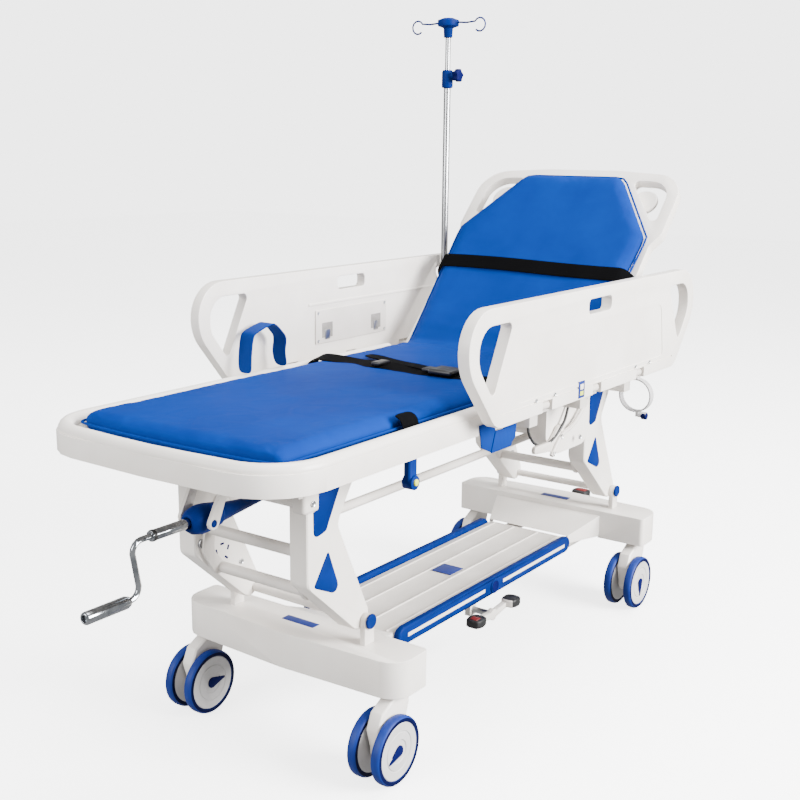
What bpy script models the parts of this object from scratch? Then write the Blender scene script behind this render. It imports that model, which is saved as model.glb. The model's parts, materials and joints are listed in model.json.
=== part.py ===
"""Hospital transfer stretcher: crank lift, tilting backrest, folding side rails, drip pole.

Metres, +Z up.  +X is the head end, +Y the left side as seen from the foot end.  The model is laid out about the
middle of the wheelbase and moved by ORIGIN_SHIFT, so that the origin is under the middle of its box.
"""
import math

import bmesh
import bpy
from mathutils import Matrix, Vector

# ---------------------------------------------------------------- driving sizes
WHEELBASE = 1.200
TRACK = 0.536
WHEEL_RADIUS = 0.075
LIFT_LENGTH = 0.345          # height of the lift arm's top pivot over its base pivot
DECK_LENGTH = 1.205          # foot deck, from its foot end to its head end
DECK_HALF_WIDTH = 0.330
BACK_LENGTH = 0.690          # backrest, from its hinge to its top bar
RAIL_LENGTH = 1.163
RAIL_HEIGHT = 0.257
POLE_HEIGHT = 1.500          # top of the fixed pole tube over the floor
PAD_THICKNESS = 0.038

# ---------------------------------------------------------------- clearances
SEAT_GAP = 0.0003            # touching faces
RUN_GAP = 0.0015             # moving faces
NECK_BACK = 0.0153           # from the gas spring's eye to its neck, clear of the swinging lever
TIE_EYE_INSET = 0.010        # from an eye's axis to the tie rod's end inside it
LUG_GAP = 0.0008             # lift arm beside the deck's lug
RING_CLEARANCE = 0.0395      # from the lift arm to the cylinder ring
PIN_GAP = 0.0008             # pin in its hole, on the radius
WELD = 0.00002

# ---------------------------------------------------------------- casters
AXLE_X = WHEELBASE / 2
STEM_Y = TRACK / 2
TRAIL = 0.047
TYRE_DEPTH = 0.012
TYRE_WIDTH = 0.0215
WHEEL_HALF_WIDTH = 0.0415
HUB_RADIUS = WHEEL_RADIUS - TYRE_DEPTH - SEAT_GAP
HUB_AXLE_RADIUS = 0.010
WHEEL_SIDES = 20
HOOD_HALF_WIDTH = WHEEL_HALF_WIDTH - TYRE_WIDTH - 0.0035
STEM_RADIUS = 0.011

# ---------------------------------------------------------------- base
BEAM_BOTTOM = 0.186
BEAM_TOP = 0.214
BEAM_HALF_X = 0.020
BEAM_HALF_Y = STEM_Y + 0.022
SPINE_Y = 0.100
SPINE_RADIUS = 0.016
SPINE_Z = BEAM_BOTTOM - SPINE_RADIUS + 0.003
COVER_INNER_X = AXLE_X - 0.055
COVER_OUTER_X = AXLE_X + 0.055
COVER_BOW = 0.014
COVER_HALF_Y = BEAM_HALF_Y + 0.020
COVER_TOP = 0.268
COVER_WALL = 0.004
RAMP_HALF_Y = 0.185
TRAY_HALF_X = AXLE_X - 0.170
TRAY_HALF_Y = 0.1265
TRAY_TOP = 0.210
TRAY_BOTTOM = SPINE_Z + SPINE_RADIUS + SEAT_GAP
TRAY_WALL = 0.005
BUMPER_DEPTH = 0.018
BUMPER_HEIGHT = 0.045
POST_INNER_Y = 0.1815
POST_DEPTH = 0.013
POST_HALF_X = 0.016
PIVOT_Z = 0.320
PIVOT_RADIUS = 0.010

# ---------------------------------------------------------------- lift arms, from their base pivot
ARM_INNER_Y = 0.132
ARM_OUTER_Y = POST_INNER_Y - RUN_GAP
ARM_LEAN = 0.062             # the top pivot stands this far toward the foot
ARM_TOP = LIFT_LENGTH + 0.035
TIE_X = -0.105
TIE_Z = 0.235
TIE_RADIUS = 0.0105
TIE_Y = 0.1185
CROSS_TUBE_RADIUS = 0.0125
CROSS_TUBES = ((-0.145, 0.180), (-0.115, 0.085))
TOP_PIN_RADIUS = 0.009

# ---------------------------------------------------------------- deck
TOP_PIVOT_Z = PIVOT_Z + LIFT_LENGTH
DECK_BOTTOM = TOP_PIVOT_Z + 0.040
DECK_FLOOR = DECK_BOTTOM + 0.030
RIM_TOP = DECK_FLOOR + 0.030
RIM_WIDTH = 0.030
RIM_SLOT = 0.027
DECK_HEAD_X = 0.160
DECK_FOOT_X = DECK_HEAD_X - DECK_LENGTH
DECK_CORNER = 0.130
DECK_BOW = 0.010
SPAR_TOP = DECK_BOTTOM - SEAT_GAP
SPAR_HEIGHT = 0.025
SPAR_BOTTOM = SPAR_TOP - SPAR_HEIGHT
SPAR_OUTER_Y = DECK_HALF_WIDTH - 0.060
SPAR_WIDTH = 0.025
SPAR_INNER_Y = SPAR_OUTER_Y - SPAR_WIDTH
LUG_OUTER_Y = ARM_INNER_Y - LUG_GAP
LUG_DEPTH = 0.018
MATTRESS_HALF_WIDTH = DECK_HALF_WIDTH - 0.055

# ---------------------------------------------------------------- backrest, from its hinge
HINGE_X = DECK_HEAD_X + 0.0385
HINGE_Z = DECK_FLOOR
BACK_ANGLE = math.radians(46.0)
BACK_THICKNESS = 0.028
BACK_START = 0.016
BACK_HALF_WIDTH = DECK_HALF_WIDTH - 0.030
BACK_LOOP_WIDTH = DECK_HALF_WIDTH - 0.008
BACK_LOOP_START = 0.420
BACK_BAR = 0.030
HINGE_PIN_RADIUS = 0.006
HINGE_LUG_OUTER_Y = SPAR_OUTER_Y
HINGE_LUG_DEPTH = 0.008
LEVER_LENGTH = 0.100
LEVER_LEAN = math.radians(37.5)

# ---------------------------------------------------------------- side rails
RAIL_THICKNESS = 0.028
RAIL_INNER_Y = DECK_HALF_WIDTH + 0.028
RAIL_Y = RAIL_INNER_Y + RAIL_THICKNESS / 2
RAIL_MIDDLE_X = 0.0465
RAIL_BOTTOM = DECK_BOTTOM + 0.025
RAIL_HINGE_Z = RAIL_BOTTOM + 0.012
RAIL_TOP = RAIL_BOTTOM + RAIL_HEIGHT
KNUCKLE_RADIUS = 0.010
KNUCKLE_HALF = 0.018
KNUCKLE_SPACING = 0.2465
RAIL_PIN_RADIUS = 0.004

# ---------------------------------------------------------------- drip pole
POLE_X = 0.475
POLE_Y = RAIL_INNER_Y - 0.018
POLE_RADIUS = 0.0098
POLE_BORE = 0.0083
POLE_UPPER_RADIUS = 0.0075
POLE_EXPOSED = 0.130
POLE_TUCKED = 0.400
POLE_DROP = 0.090
SOCKET_RADIUS = 0.0145
HUB_TOP_RADIUS = 0.031
HOOK_WIRE = 0.003
HOOK_REACH = 0.106
HOOK_LOOP = 0.0185

# ---------------------------------------------------------------- crank
CRANK_Z = DECK_BOTTOM - 0.120
CRANK_THROW = 0.111
CRANK_ROD = 0.006
CRANK_SLEEVE = 0.011
CRANK_BEND_X = DECK_FOOT_X - 0.027
CRANK_GRIP_LENGTH = 0.105
CRANK_GRIP_RADIUS = 0.0125
HOUSING_FOOT_X = DECK_FOOT_X + 0.113
HOUSING_LENGTH = 0.080
BOOT_LENGTH = 0.135
FOOT_TUBE_X = DECK_FOOT_X + 0.165
FOOT_TUBE_Z = SPAR_BOTTOM - 0.016
YOKE_Y = 0.040

# ---------------------------------------------------------------- brakes
BRAKE_X = -0.040
BRAKE_Z = 0.140
BRAKE_RADIUS = 0.008
ROCKER_INNER_Y = 0.156
ROCKER_REACH = 0.085
HEAD_PEDAL_X = AXLE_X + 0.045
HEAD_PEDAL_Z = 0.170
HEAD_PEDAL_REACH = 0.148

# The box runs from the crank grip's end to the head pedal's pad.
BOX_FOOT = CRANK_BEND_X - 0.013 - CRANK_GRIP_LENGTH
BOX_HEAD = HEAD_PEDAL_X + HEAD_PEDAL_REACH
# Across, it runs from the right rail's outer face to the left hook's loop.
BOX_RIGHT = -RAIL_INNER_Y - RAIL_THICKNESS
BOX_LEFT = POLE_Y + HOOK_REACH + HOOK_LOOP + HOOK_WIRE
ORIGIN_SHIFT = (-(BOX_FOOT + BOX_HEAD) / 2, -(BOX_RIGHT + BOX_LEFT) / 2, 0.0)

BODIES = {}
MATERIALS = {}


# ================================================================ scene and materials
def clear_scene():
    for old in list(bpy.data.objects):
        bpy.data.objects.remove(old, do_unlink=True)


def new_collection(name):
    collection = bpy.data.collections.new(name)
    bpy.context.scene.collection.children.link(collection)
    return collection


def material(name, colour, roughness, metallic=0.0):
    made = bpy.data.materials.new(name)
    made.use_nodes = True
    shader = made.node_tree.nodes["Principled BSDF"]
    shader.inputs["Base Color"].default_value = (*colour, 1.0)
    shader.inputs["Roughness"].default_value = roughness
    shader.inputs["Metallic"].default_value = metallic
    MATERIALS[name] = made


def make_materials():
    material("white_plastic", (0.83, 0.81, 0.79), 0.35)
    material("white_steel", (0.70, 0.69, 0.67), 0.40)
    material("blue_plastic", (0.02, 0.06, 0.36), 0.40)
    material("blue_fabric", (0.01, 0.11, 0.45), 0.55)
    material("grey_plastic", (0.55, 0.55, 0.54), 0.45)
    material("blue_rubber", (0.05, 0.12, 0.45), 0.60)
    material("black_plastic", (0.02, 0.02, 0.02), 0.50)
    material("chrome", (0.80, 0.80, 0.80), 0.12, 1.0)
    material("plain_steel", (0.60, 0.60, 0.60), 0.30, 1.0)


def body(name, parent, pivot, tilt=0.0):
    """An empty on a joint's axis; a tilted body is modelled flat, about its own pivot."""
    empty = bpy.data.objects.new(name + "_pivot", None)
    PARTS.objects.link(empty)
    home = Vector(pivot)
    if parent is None:
        empty.location = home + Vector(ORIGIN_SHIFT)
    else:
        empty.parent = BODIES[parent][0]
        empty.location = home - BODIES[parent][1]
    empty.rotation_euler = (0.0, -tilt, 0.0)
    BODIES[name] = (empty, home, tilt)


def place(solid, name, material_name, body_name):
    """Name a finished solid, give it its material and hang it on its body's empty."""
    empty, home, tilt = BODIES[body_name]
    if not tilt:
        solid.data.transform(Matrix.Translation(-home))
    solid.name = name
    solid.data.name = name
    solid.parent = empty
    solid.data.materials.clear()
    solid.data.materials.append(MATERIALS[material_name])
    solid.data.shade_smooth()
    solid.data.set_sharp_from_angle(angle=math.radians(35.0))
    return solid


# ================================================================ solids
def freeze(shape):
    """Replace a shape by its evaluated mesh in world space, with its seams welded."""
    bpy.context.view_layer.update()
    evaluated = shape.evaluated_get(bpy.context.evaluated_depsgraph_get())
    mesh = bpy.data.meshes.new_from_object(evaluated)
    mesh.transform(shape.matrix_world)
    mesh.materials.clear()
    bm = bmesh.new()
    bm.from_mesh(mesh)
    bmesh.ops.remove_doubles(bm, verts=bm.verts, dist=WELD)
    bm.to_mesh(mesh)
    bm.free()
    solid = bpy.data.objects.new("solid", mesh)
    PARTS.objects.link(solid)
    bpy.data.objects.remove(shape, do_unlink=True)
    return solid


def combine(target, tools, operation):
    """Join tools to a target, or cut them from it."""
    for tool in tools:
        step = target.modifiers.new(operation.lower(), "BOOLEAN")
        step.operation = operation
        step.solver = "EXACT"
        step.object = tool
    result = freeze(target)
    for tool in tools:
        bpy.data.objects.remove(tool, do_unlink=True)
    return result


def join(target, *tools):
    return combine(target, tools, "UNION")


def cut(target, *tools):
    return combine(target, tools, "DIFFERENCE")


def soften(solid, width, segments=1, angle=30.0):
    """Round a solid's edges."""
    bevel = solid.modifiers.new("soft_edges", "BEVEL")
    bevel.width = width
    bevel.segments = segments
    bevel.limit_method = "ANGLE"
    bevel.angle_limit = math.radians(angle)
    return freeze(solid)


def mirrored(solid):
    """A copy on the other side of the middle plane."""
    mesh = solid.data.copy()
    mesh.transform(Matrix.Scale(-1.0, 4, (0.0, 1.0, 0.0)))
    mesh.flip_normals()
    copy = bpy.data.objects.new("solid", mesh)
    PARTS.objects.link(copy)
    return copy


def shifted(solid, offset):
    """A copy moved by an offset."""
    mesh = solid.data.copy()
    mesh.transform(Matrix.Translation(offset))
    copy = bpy.data.objects.new("solid", mesh)
    PARTS.objects.link(copy)
    return copy


def turned_copy(solid, angle, axis):
    """A copy turned about the origin."""
    mesh = solid.data.copy()
    mesh.transform(Matrix.Rotation(angle, 4, axis))
    copy = bpy.data.objects.new("solid", mesh)
    PARTS.objects.link(copy)
    return copy


def box(x_range, y_range, z_range):
    bm = bmesh.new()
    bmesh.ops.create_cube(bm, size=1.0)
    size = [high - low for low, high in (x_range, y_range, z_range)]
    middle = [(high + low) / 2 for low, high in (x_range, y_range, z_range)]
    bmesh.ops.scale(bm, vec=size, verts=bm.verts)
    bmesh.ops.translate(bm, vec=middle, verts=bm.verts)
    return from_bmesh(bm)


def from_bmesh(bm):
    mesh = bpy.data.meshes.new("solid")
    bm.to_mesh(mesh)
    bm.free()
    solid = bpy.data.objects.new("solid", mesh)
    PARTS.objects.link(solid)
    return solid


def rod(start, end, radius, sides=12):
    """A straight round bar between two points."""
    start = Vector(start)
    end = Vector(end)
    bm = bmesh.new()
    bmesh.ops.create_cone(bm, cap_ends=True, segments=sides, radius1=radius, radius2=radius,
                          depth=(end - start).length)
    turn = Vector((0, 0, 1)).rotation_difference(end - start).to_matrix().to_4x4()
    bmesh.ops.transform(bm, matrix=Matrix.Translation((start + end) / 2) @ turn, verts=bm.verts)
    return from_bmesh(bm)


def prism(outline, low, high, plane="XZ", holes=()):
    """A flat outline, with its holes, made thick between two levels."""
    curve = bpy.data.curves.new("outline", "CURVE")
    curve.dimensions = "2D"
    curve.fill_mode = "BOTH"
    curve.extrude = (high - low) / 2
    for ring in (outline, *holes):
        spline = curve.splines.new("POLY")
        spline.points.add(len(ring) - 1)
        for point, (u, v) in zip(spline.points, ring):
            point.co = (u, v, 0.0, 1.0)
        spline.use_cyclic_u = True
    shape = bpy.data.objects.new("outline", curve)
    PARTS.objects.link(shape)
    middle = (low + high) / 2
    if plane == "XZ":
        shape.matrix_world = Matrix.Translation((0, middle, 0)) @ Matrix.Rotation(math.pi / 2, 4, "X")
    else:
        shape.matrix_world = Matrix.Translation((0, 0, middle))
    return freeze(shape)


def tube(points, radius, resolution=2):
    """A round bar along a line of points."""
    curve = bpy.data.curves.new("path", "CURVE")
    curve.dimensions = "3D"
    curve.bevel_depth = radius
    curve.bevel_resolution = resolution
    curve.use_fill_caps = True
    curve.render_resolution_u = 0
    spline = curve.splines.new("POLY")
    spline.points.add(len(points) - 1)
    for point, place_at in zip(spline.points, points):
        point.co = (*place_at, 1.0)
    shape = bpy.data.objects.new("path", curve)
    PARTS.objects.link(shape)
    return freeze(shape)


def turned(profile, sides, centre, axis="Z"):
    """A turned solid: (radius, height) pairs from top to bottom, ends on the axis or a closed ring."""
    closed = profile[0][0] > 0.0
    bm = bmesh.new()
    ring = [bm.verts.new((radius, 0.0, height)) for radius, height in profile]
    pairs = list(zip(ring, ring[1:]))
    if closed:
        pairs.append((ring[-1], ring[0]))
    for first, second in pairs:
        bm.edges.new((first, second))
    shape = from_bmesh(bm)
    screw = shape.modifiers.new("turn", "SCREW")
    screw.steps = sides
    screw.render_steps = sides
    screw.use_merge_vertices = True
    screw.merge_threshold = 0.00005
    screw.use_normal_calculate = False
    solid = freeze(shape)
    if axis == "Y":
        solid.data.transform(Matrix.Rotation(-math.pi / 2, 4, "X"))
    if axis == "X":
        solid.data.transform(Matrix.Rotation(math.pi / 2, 4, "Y"))
    solid.data.transform(Matrix.Translation(centre))
    bm = bmesh.new()
    bm.from_mesh(solid.data)
    bmesh.ops.recalc_face_normals(bm, faces=bm.faces)
    bm.to_mesh(solid.data)
    bm.free()
    return solid


def arc(centre, radius, start, end, steps):
    """Points along an arc, angles in degrees."""
    points = []
    for step in range(steps + 1):
        angle = math.radians(start + (end - start) * step / steps)
        points.append((centre[0] + radius * math.cos(angle), centre[1] + radius * math.sin(angle)))
    return points


def rounded(corners, steps=3):
    """A closed outline from (u, v, radius) corners, each rounded by its own radius."""
    points = []
    count = len(corners)
    for index, (u, v, radius) in enumerate(corners):
        corner = Vector((u, v))
        if radius == 0.0:
            points.append((u, v))
            continue
        back = (Vector(corners[index - 1][:2]) - corner).normalized()
        ahead = (Vector(corners[(index + 1) % count][:2]) - corner).normalized()
        half = back.angle(ahead) / 2
        middle = corner + (back + ahead).normalized() * (radius / math.sin(half))
        first = corner + back * (radius / math.tan(half)) - middle
        last = corner + ahead * (radius / math.tan(half)) - middle
        sweep = first.angle_signed(last)
        for step in range(steps + 1):
            spoke = Matrix.Rotation(-sweep * step / steps, 2) @ first
            points.append((middle.x + spoke.x, middle.y + spoke.y))
    return points


def both(low, high):
    """The same range on the other side."""
    return (-high, -low)


# ================================================================ base
def chassis_frame():
    """Two cross beams, two spines, four lift posts, standoffs for the covers and the brake lugs."""
    spines = [rod((-AXLE_X, side * SPINE_Y, SPINE_Z), (AXLE_X, side * SPINE_Y, SPINE_Z),
                  SPINE_RADIUS, 12) for side in (-1, 1)]
    extras = []
    for end in (-1, 1):
        centre = end * AXLE_X
        extras.append(box((centre - BEAM_HALF_X, centre + BEAM_HALF_X), (-BEAM_HALF_Y, BEAM_HALF_Y),
                          (BEAM_BOTTOM, BEAM_TOP)))
        for side in (-1, 1):
            middle = side * (POST_INNER_Y + POST_DEPTH / 2)
            outline = [(centre - POST_HALF_X, BEAM_TOP - 0.004), (centre + POST_HALF_X, BEAM_TOP - 0.004)]
            outline += arc((centre, PIVOT_Z), POST_HALF_X, 0.0, 180.0, 6)
            extras.append(prism(outline, middle - POST_DEPTH / 2, middle + POST_DEPTH / 2))
            top = COVER_TOP - COVER_WALL - SEAT_GAP
            extras.append(rod((centre, side * SPINE_Y, BEAM_TOP - 0.002), (centre, side * SPINE_Y, top),
                              0.008, 8))
    for side in (-1, 1):
        extras.append(box((BRAKE_X - 0.015, BRAKE_X + 0.015), (side * SPINE_Y - 0.008, side * SPINE_Y + 0.008),
                          (BRAKE_Z - 0.015, SPINE_Z)))
        lug = (0.0215, 0.0295) if side > 0 else both(0.0215, 0.0295)
        extras.append(box((AXLE_X - 0.010, HEAD_PEDAL_X + 0.010), lug, (HEAD_PEDAL_Z - 0.012, BEAM_BOTTOM - 0.0005)))
    extras.append(box((AXLE_X - 0.014, AXLE_X + 0.017), (-0.027, 0.027), (HEAD_PEDAL_Z + 0.004, BEAM_TOP - 0.01)))
    extras.append(rod((HEAD_PEDAL_X, -0.025, HEAD_PEDAL_Z), (HEAD_PEDAL_X, 0.025, HEAD_PEDAL_Z), 0.005, 12))
    frame = join(spines[0], spines[1], *extras)
    holes = []
    for end in (-1, 1):
        for side in (-1, 1):
            holes.append(rod((end * AXLE_X, side * STEM_Y, BEAM_BOTTOM - 0.01),
                             (end * AXLE_X, side * STEM_Y, BEAM_TOP + 0.01), STEM_RADIUS + PIN_GAP))
            holes.append(rod((end * AXLE_X, side * (POST_INNER_Y - 0.01), PIVOT_Z),
                             (end * AXLE_X, side * (POST_INNER_Y + POST_DEPTH + 0.01), PIVOT_Z),
                             PIVOT_RADIUS + PIN_GAP))
    for side in (-1, 1):
        holes.append(rod((BRAKE_X, side * (SPINE_Y - 0.02), BRAKE_Z), (BRAKE_X, side * (SPINE_Y + 0.02), BRAKE_Z),
                         BRAKE_RADIUS + PIN_GAP))
    place(cut(frame, *holes), "chassis_frame", "white_steel", "base")


def cover_block(inset):
    """The head cover's bowed block and its ramp down to the tray, all drawn in by an inset."""
    bottom = BEAM_BOTTOM - (0.02 if inset else 0.0)
    inner = COVER_INNER_X + inset
    outer = COVER_OUTER_X - inset
    half_y = COVER_HALF_Y - inset
    radius = 0.050 - inset
    outline = rounded([(inner, -half_y, 0.012), (outer, -half_y, radius), (outer + COVER_BOW, 0.0, 0.0),
                       (outer, half_y, radius), (inner, half_y, 0.012)], 4)
    block = prism(outline, bottom, COVER_TOP - inset, "XY")
    if not inset:
        block = soften(block, 0.010, 1, 50.0)
    bm = bmesh.new()
    bmesh.ops.create_cube(bm, size=2.0)
    tray_end = TRAY_HALF_X + SEAT_GAP - (0.01 if inset else 0.0)
    ramp_bottom = bottom + 0.005
    for vert in bm.verts:
        at_tray = vert.co.x < 0
        top = TRAY_TOP + 0.004 if at_tray else COVER_TOP - 0.004
        half = TRAY_HALF_Y + 0.004 if at_tray else RAMP_HALF_Y
        vert.co.y = (half - inset) * (1 if vert.co.y > 0 else -1)
        vert.co.z = top - inset if vert.co.z > 0 else ramp_bottom
        vert.co.x = tray_end if at_tray else COVER_INNER_X + 0.030
    return join(block, from_bmesh(bm))


def base_covers():
    """Open-bottomed moulded shells over the cross beams, with slots for the lift posts."""
    shell = cut(cover_block(0.0), cover_block(COVER_WALL))
    slots = []
    for side in (-1, 1):
        middle = side * (POST_INNER_Y + POST_DEPTH / 2)
        slots.append(box((AXLE_X - POST_HALF_X - 0.0007, AXLE_X + POST_HALF_X + 0.0007),
                         (middle - POST_DEPTH / 2 - 0.0007, middle + POST_DEPTH / 2 + 0.0007),
                         (COVER_TOP - 0.02, COVER_TOP + 0.02)))
    head = cut(shell, *slots)
    foot = turned_copy(head, math.pi, "Z")
    place(head, "base_cover_head", "white_plastic", "base")
    place(foot, "base_cover_foot", "white_plastic", "base")


def storage_tray():
    """A ribbed tray, hollow underneath, whose inner ribs stand on the spines."""
    tray = soften(box((-TRAY_HALF_X, TRAY_HALF_X), (-TRAY_HALF_Y, TRAY_HALF_Y), (TRAY_BOTTOM, TRAY_TOP)), 0.004)
    ridges = []
    for offset in (-0.105, -0.040, 0.040, 0.105):
        ridges.append(box((-TRAY_HALF_X + 0.012, TRAY_HALF_X - 0.012), (offset - 0.003, offset + 0.003),
                          (TRAY_TOP - 0.001, TRAY_TOP + 0.0025)))
    tray = join(tray, *ridges)
    rib = 0.006
    x_range = (-TRAY_HALF_X + TRAY_WALL, TRAY_HALF_X - TRAY_WALL)
    z_range = (TRAY_BOTTOM - 0.01, TRAY_TOP - TRAY_WALL)
    pockets = [box(x_range, (-SPINE_Y + rib, SPINE_Y - rib), z_range)]
    edge = (SPINE_Y + rib, TRAY_HALF_Y - TRAY_WALL)
    pockets.append(box(x_range, edge, z_range))
    pockets.append(box(x_range, both(*edge), z_range))
    place(cut(tray, *pockets), "storage_tray", "white_plastic", "base")


def tray_bumpers():
    """Blue strips with round ends along the tray's sides, each with a round boss in the middle."""
    radius = BUMPER_HEIGHT / 2
    middle = TRAY_TOP - 0.010
    reach = TRAY_HALF_X - 0.010 - radius
    outline = arc((reach, middle), radius, -90.0, 90.0, 6) + arc((-reach, middle), radius, 90.0, 270.0, 6)
    inner = TRAY_HALF_Y + SEAT_GAP
    strip = soften(prism(outline, -inner - BUMPER_DEPTH, -inner), 0.004, 1, 50.0)
    boss = rod((0.0, -inner - BUMPER_DEPTH + 0.004, middle), (0.0, -inner - BUMPER_DEPTH - 0.004, middle), 0.019, 20)
    right = join(strip, boss)
    left = mirrored(right)
    place(right, "tray_bumper_right", "blue_plastic", "base")
    place(left, "tray_bumper_left", "blue_plastic", "base")


def pivot_shafts():
    """The lift arms' base shafts, with a round cap outside each post."""
    face = POST_INNER_Y + POST_DEPTH + SEAT_GAP
    cap = 0.015
    profile = [(0.0, face + 0.005), (cap - 0.002, face + 0.005), (cap, face + 0.003), (cap, face),
               (PIVOT_RADIUS, face)]
    profile += [(radius, -height) for radius, height in reversed(profile)]
    for end, name in ((-1, "pivot_shaft_foot"), (1, "pivot_shaft_head")):
        place(turned(profile, 12, (end * AXLE_X, 0.0, PIVOT_Z), "Y"), name, "blue_plastic", "base")


# ================================================================ casters
def hub_spool(centre):
    """Both wheel discs on their axle."""
    face = WHEEL_HALF_WIDTH - 0.0015
    back = WHEEL_HALF_WIDTH - TYRE_WIDTH + 0.001
    profile = [(0.0, face), (HUB_RADIUS - 0.003, face), (HUB_RADIUS, face - 0.003), (HUB_RADIUS, back),
               (HUB_AXLE_RADIUS, back)]
    profile += [(radius, -height) for radius, height in reversed(profile)]
    return turned(profile, WHEEL_SIDES, centre, "Y")


def tyre(centre, side):
    """One rounded tyre round its disc."""
    inner = HUB_RADIUS + SEAT_GAP
    half = TYRE_WIDTH / 2
    profile = [(inner, half), (inner, -half), (WHEEL_RADIUS - 0.004, -half), (WHEEL_RADIUS, -half + 0.005),
               (WHEEL_RADIUS, half - 0.005), (WHEEL_RADIUS - 0.004, half)]
    middle = (centre[0], centre[1] + side * (WHEEL_HALF_WIDTH - half), centre[2])
    return turned(profile, WHEEL_SIDES, middle, "Y")


def caster_hood(stem_x, stem_y, axle_x):
    """The housing between the wheels, with its swivel stem and the bore for the axle."""
    top = BEAM_BOTTOM - PIN_GAP
    outline = arc((axle_x, WHEEL_RADIUS), 0.030, 170.0, 340.0, 6)
    outline += [(stem_x + 0.012, WHEEL_RADIUS + 0.045), (stem_x + 0.024, top - 0.030), (stem_x + 0.024, top)]
    outline += [(stem_x - 0.024, top), (axle_x - 0.026, WHEEL_RADIUS + 0.085), (axle_x - 0.042, WHEEL_RADIUS + 0.05)]
    hood = soften(prism(outline, stem_y - HOOD_HALF_WIDTH, stem_y + HOOD_HALF_WIDTH), 0.004, 1, 40.0)
    stem = rod((stem_x, stem_y, top - 0.01), (stem_x, stem_y, BEAM_TOP - 0.006), STEM_RADIUS)
    bore = rod((axle_x, stem_y - 0.04, WHEEL_RADIUS), (axle_x, stem_y + 0.04, WHEEL_RADIUS),
               HUB_AXLE_RADIUS + PIN_GAP)
    return cut(join(hood, stem), bore)


def casters():
    for end, end_name in ((-1, "foot"), (1, "head")):
        for side, side_name in ((-1, "right"), (1, "left")):
            name = end_name + "_" + side_name
            stem_x = end * AXLE_X
            stem_y = side * STEM_Y
            centre = (stem_x - TRAIL, stem_y, WHEEL_RADIUS)
            body("caster_" + name, "base", (stem_x, stem_y, BEAM_BOTTOM))
            body("wheel_" + name, "caster_" + name, centre)
            place(caster_hood(stem_x, stem_y, centre[0]), "caster_hood_" + name, "white_plastic", "caster_" + name)
            place(hub_spool(centre), "wheel_hub_" + name, "grey_plastic", "wheel_" + name)
            for wheel_side, wheel_name in ((side, "outer"), (-side, "inner")):
                place(tyre(centre, wheel_side), "tyre_" + wheel_name + "_" + name, "blue_rubber", "wheel_" + name)


# ================================================================ brakes
def brake_linkage():
    """The cross shaft under the tray, with a two-pad rocker at each end."""
    body("brake", "base", (BRAKE_X, 0.0, BRAKE_Z))
    reach = ROCKER_INNER_Y + 0.010
    shaft = rod((BRAKE_X, -reach, BRAKE_Z), (BRAKE_X, reach, BRAKE_Z), BRAKE_RADIUS)
    place(shaft, "brake_shaft", "plain_steel", "brake")
    outline = [(BRAKE_X - ROCKER_REACH, BRAKE_Z + 0.004)]
    outline += arc((BRAKE_X, BRAKE_Z), 0.015, 215.0, 325.0, 4)
    outline += [(BRAKE_X + ROCKER_REACH, BRAKE_Z + 0.004), (BRAKE_X + ROCKER_REACH, BRAKE_Z + 0.016)]
    outline += arc((BRAKE_X, BRAKE_Z), 0.015, 35.0, 145.0, 4)
    outline += [(BRAKE_X - ROCKER_REACH, BRAKE_Z + 0.016)]
    arm = prism(outline, -ROCKER_INNER_Y - 0.014, -ROCKER_INNER_Y)
    pads = []
    for side in (-1, 1):
        middle = BRAKE_X + side * ROCKER_REACH
        pad = rounded([(middle - 0.024, -0.190, 0.012), (middle + 0.024, -0.190, 0.012),
                       (middle + 0.024, -0.1495, 0.012), (middle - 0.024, -0.1495, 0.012)], 2)
        pads.append(soften(prism(pad, BRAKE_Z, BRAKE_Z + 0.020, "XY"), 0.005, 1, 50.0))
    rocker = join(arm, *pads)
    hole = rod((BRAKE_X, -reach - 0.002, BRAKE_Z), (BRAKE_X, 0.0, BRAKE_Z), BRAKE_RADIUS + SEAT_GAP)
    right = cut(rocker, hole)
    left = mirrored(right)
    place(right, "brake_rocker_right", "black_plastic", "brake")
    place(left, "brake_rocker_left", "black_plastic", "brake")


def head_brake_pedal():
    """The pedal at the head end, hung on the frame's pin."""
    body("head_pedal", "base", (HEAD_PEDAL_X, 0.0, HEAD_PEDAL_Z))
    pad_x = HEAD_PEDAL_X + HEAD_PEDAL_REACH - 0.024
    hub = rod((HEAD_PEDAL_X, -0.020, HEAD_PEDAL_Z), (HEAD_PEDAL_X, 0.020, HEAD_PEDAL_Z), 0.012)
    arm = tube([(HEAD_PEDAL_X + 0.004, 0, HEAD_PEDAL_Z), (HEAD_PEDAL_X + 0.055, 0, HEAD_PEDAL_Z - 0.002),
                (HEAD_PEDAL_X + 0.085, 0, HEAD_PEDAL_Z + 0.02), (pad_x, 0, HEAD_PEDAL_Z + 0.062)], 0.007, 1)
    outline = rounded([(pad_x - 0.024, -0.026, 0.012), (pad_x + 0.024, -0.026, 0.012),
                       (pad_x + 0.024, 0.026, 0.012), (pad_x - 0.024, 0.026, 0.012)], 2)
    pad = soften(prism(outline, HEAD_PEDAL_Z + 0.055, HEAD_PEDAL_Z + 0.077, "XY"), 0.005, 1, 50.0)
    bore = rod((HEAD_PEDAL_X, -0.03, HEAD_PEDAL_Z), (HEAD_PEDAL_X, 0.03, HEAD_PEDAL_Z), 0.005 + PIN_GAP, 12)
    place(cut(join(hub, arm, pad), bore), "head_brake_pedal", "black_plastic", "head_pedal")


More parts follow.
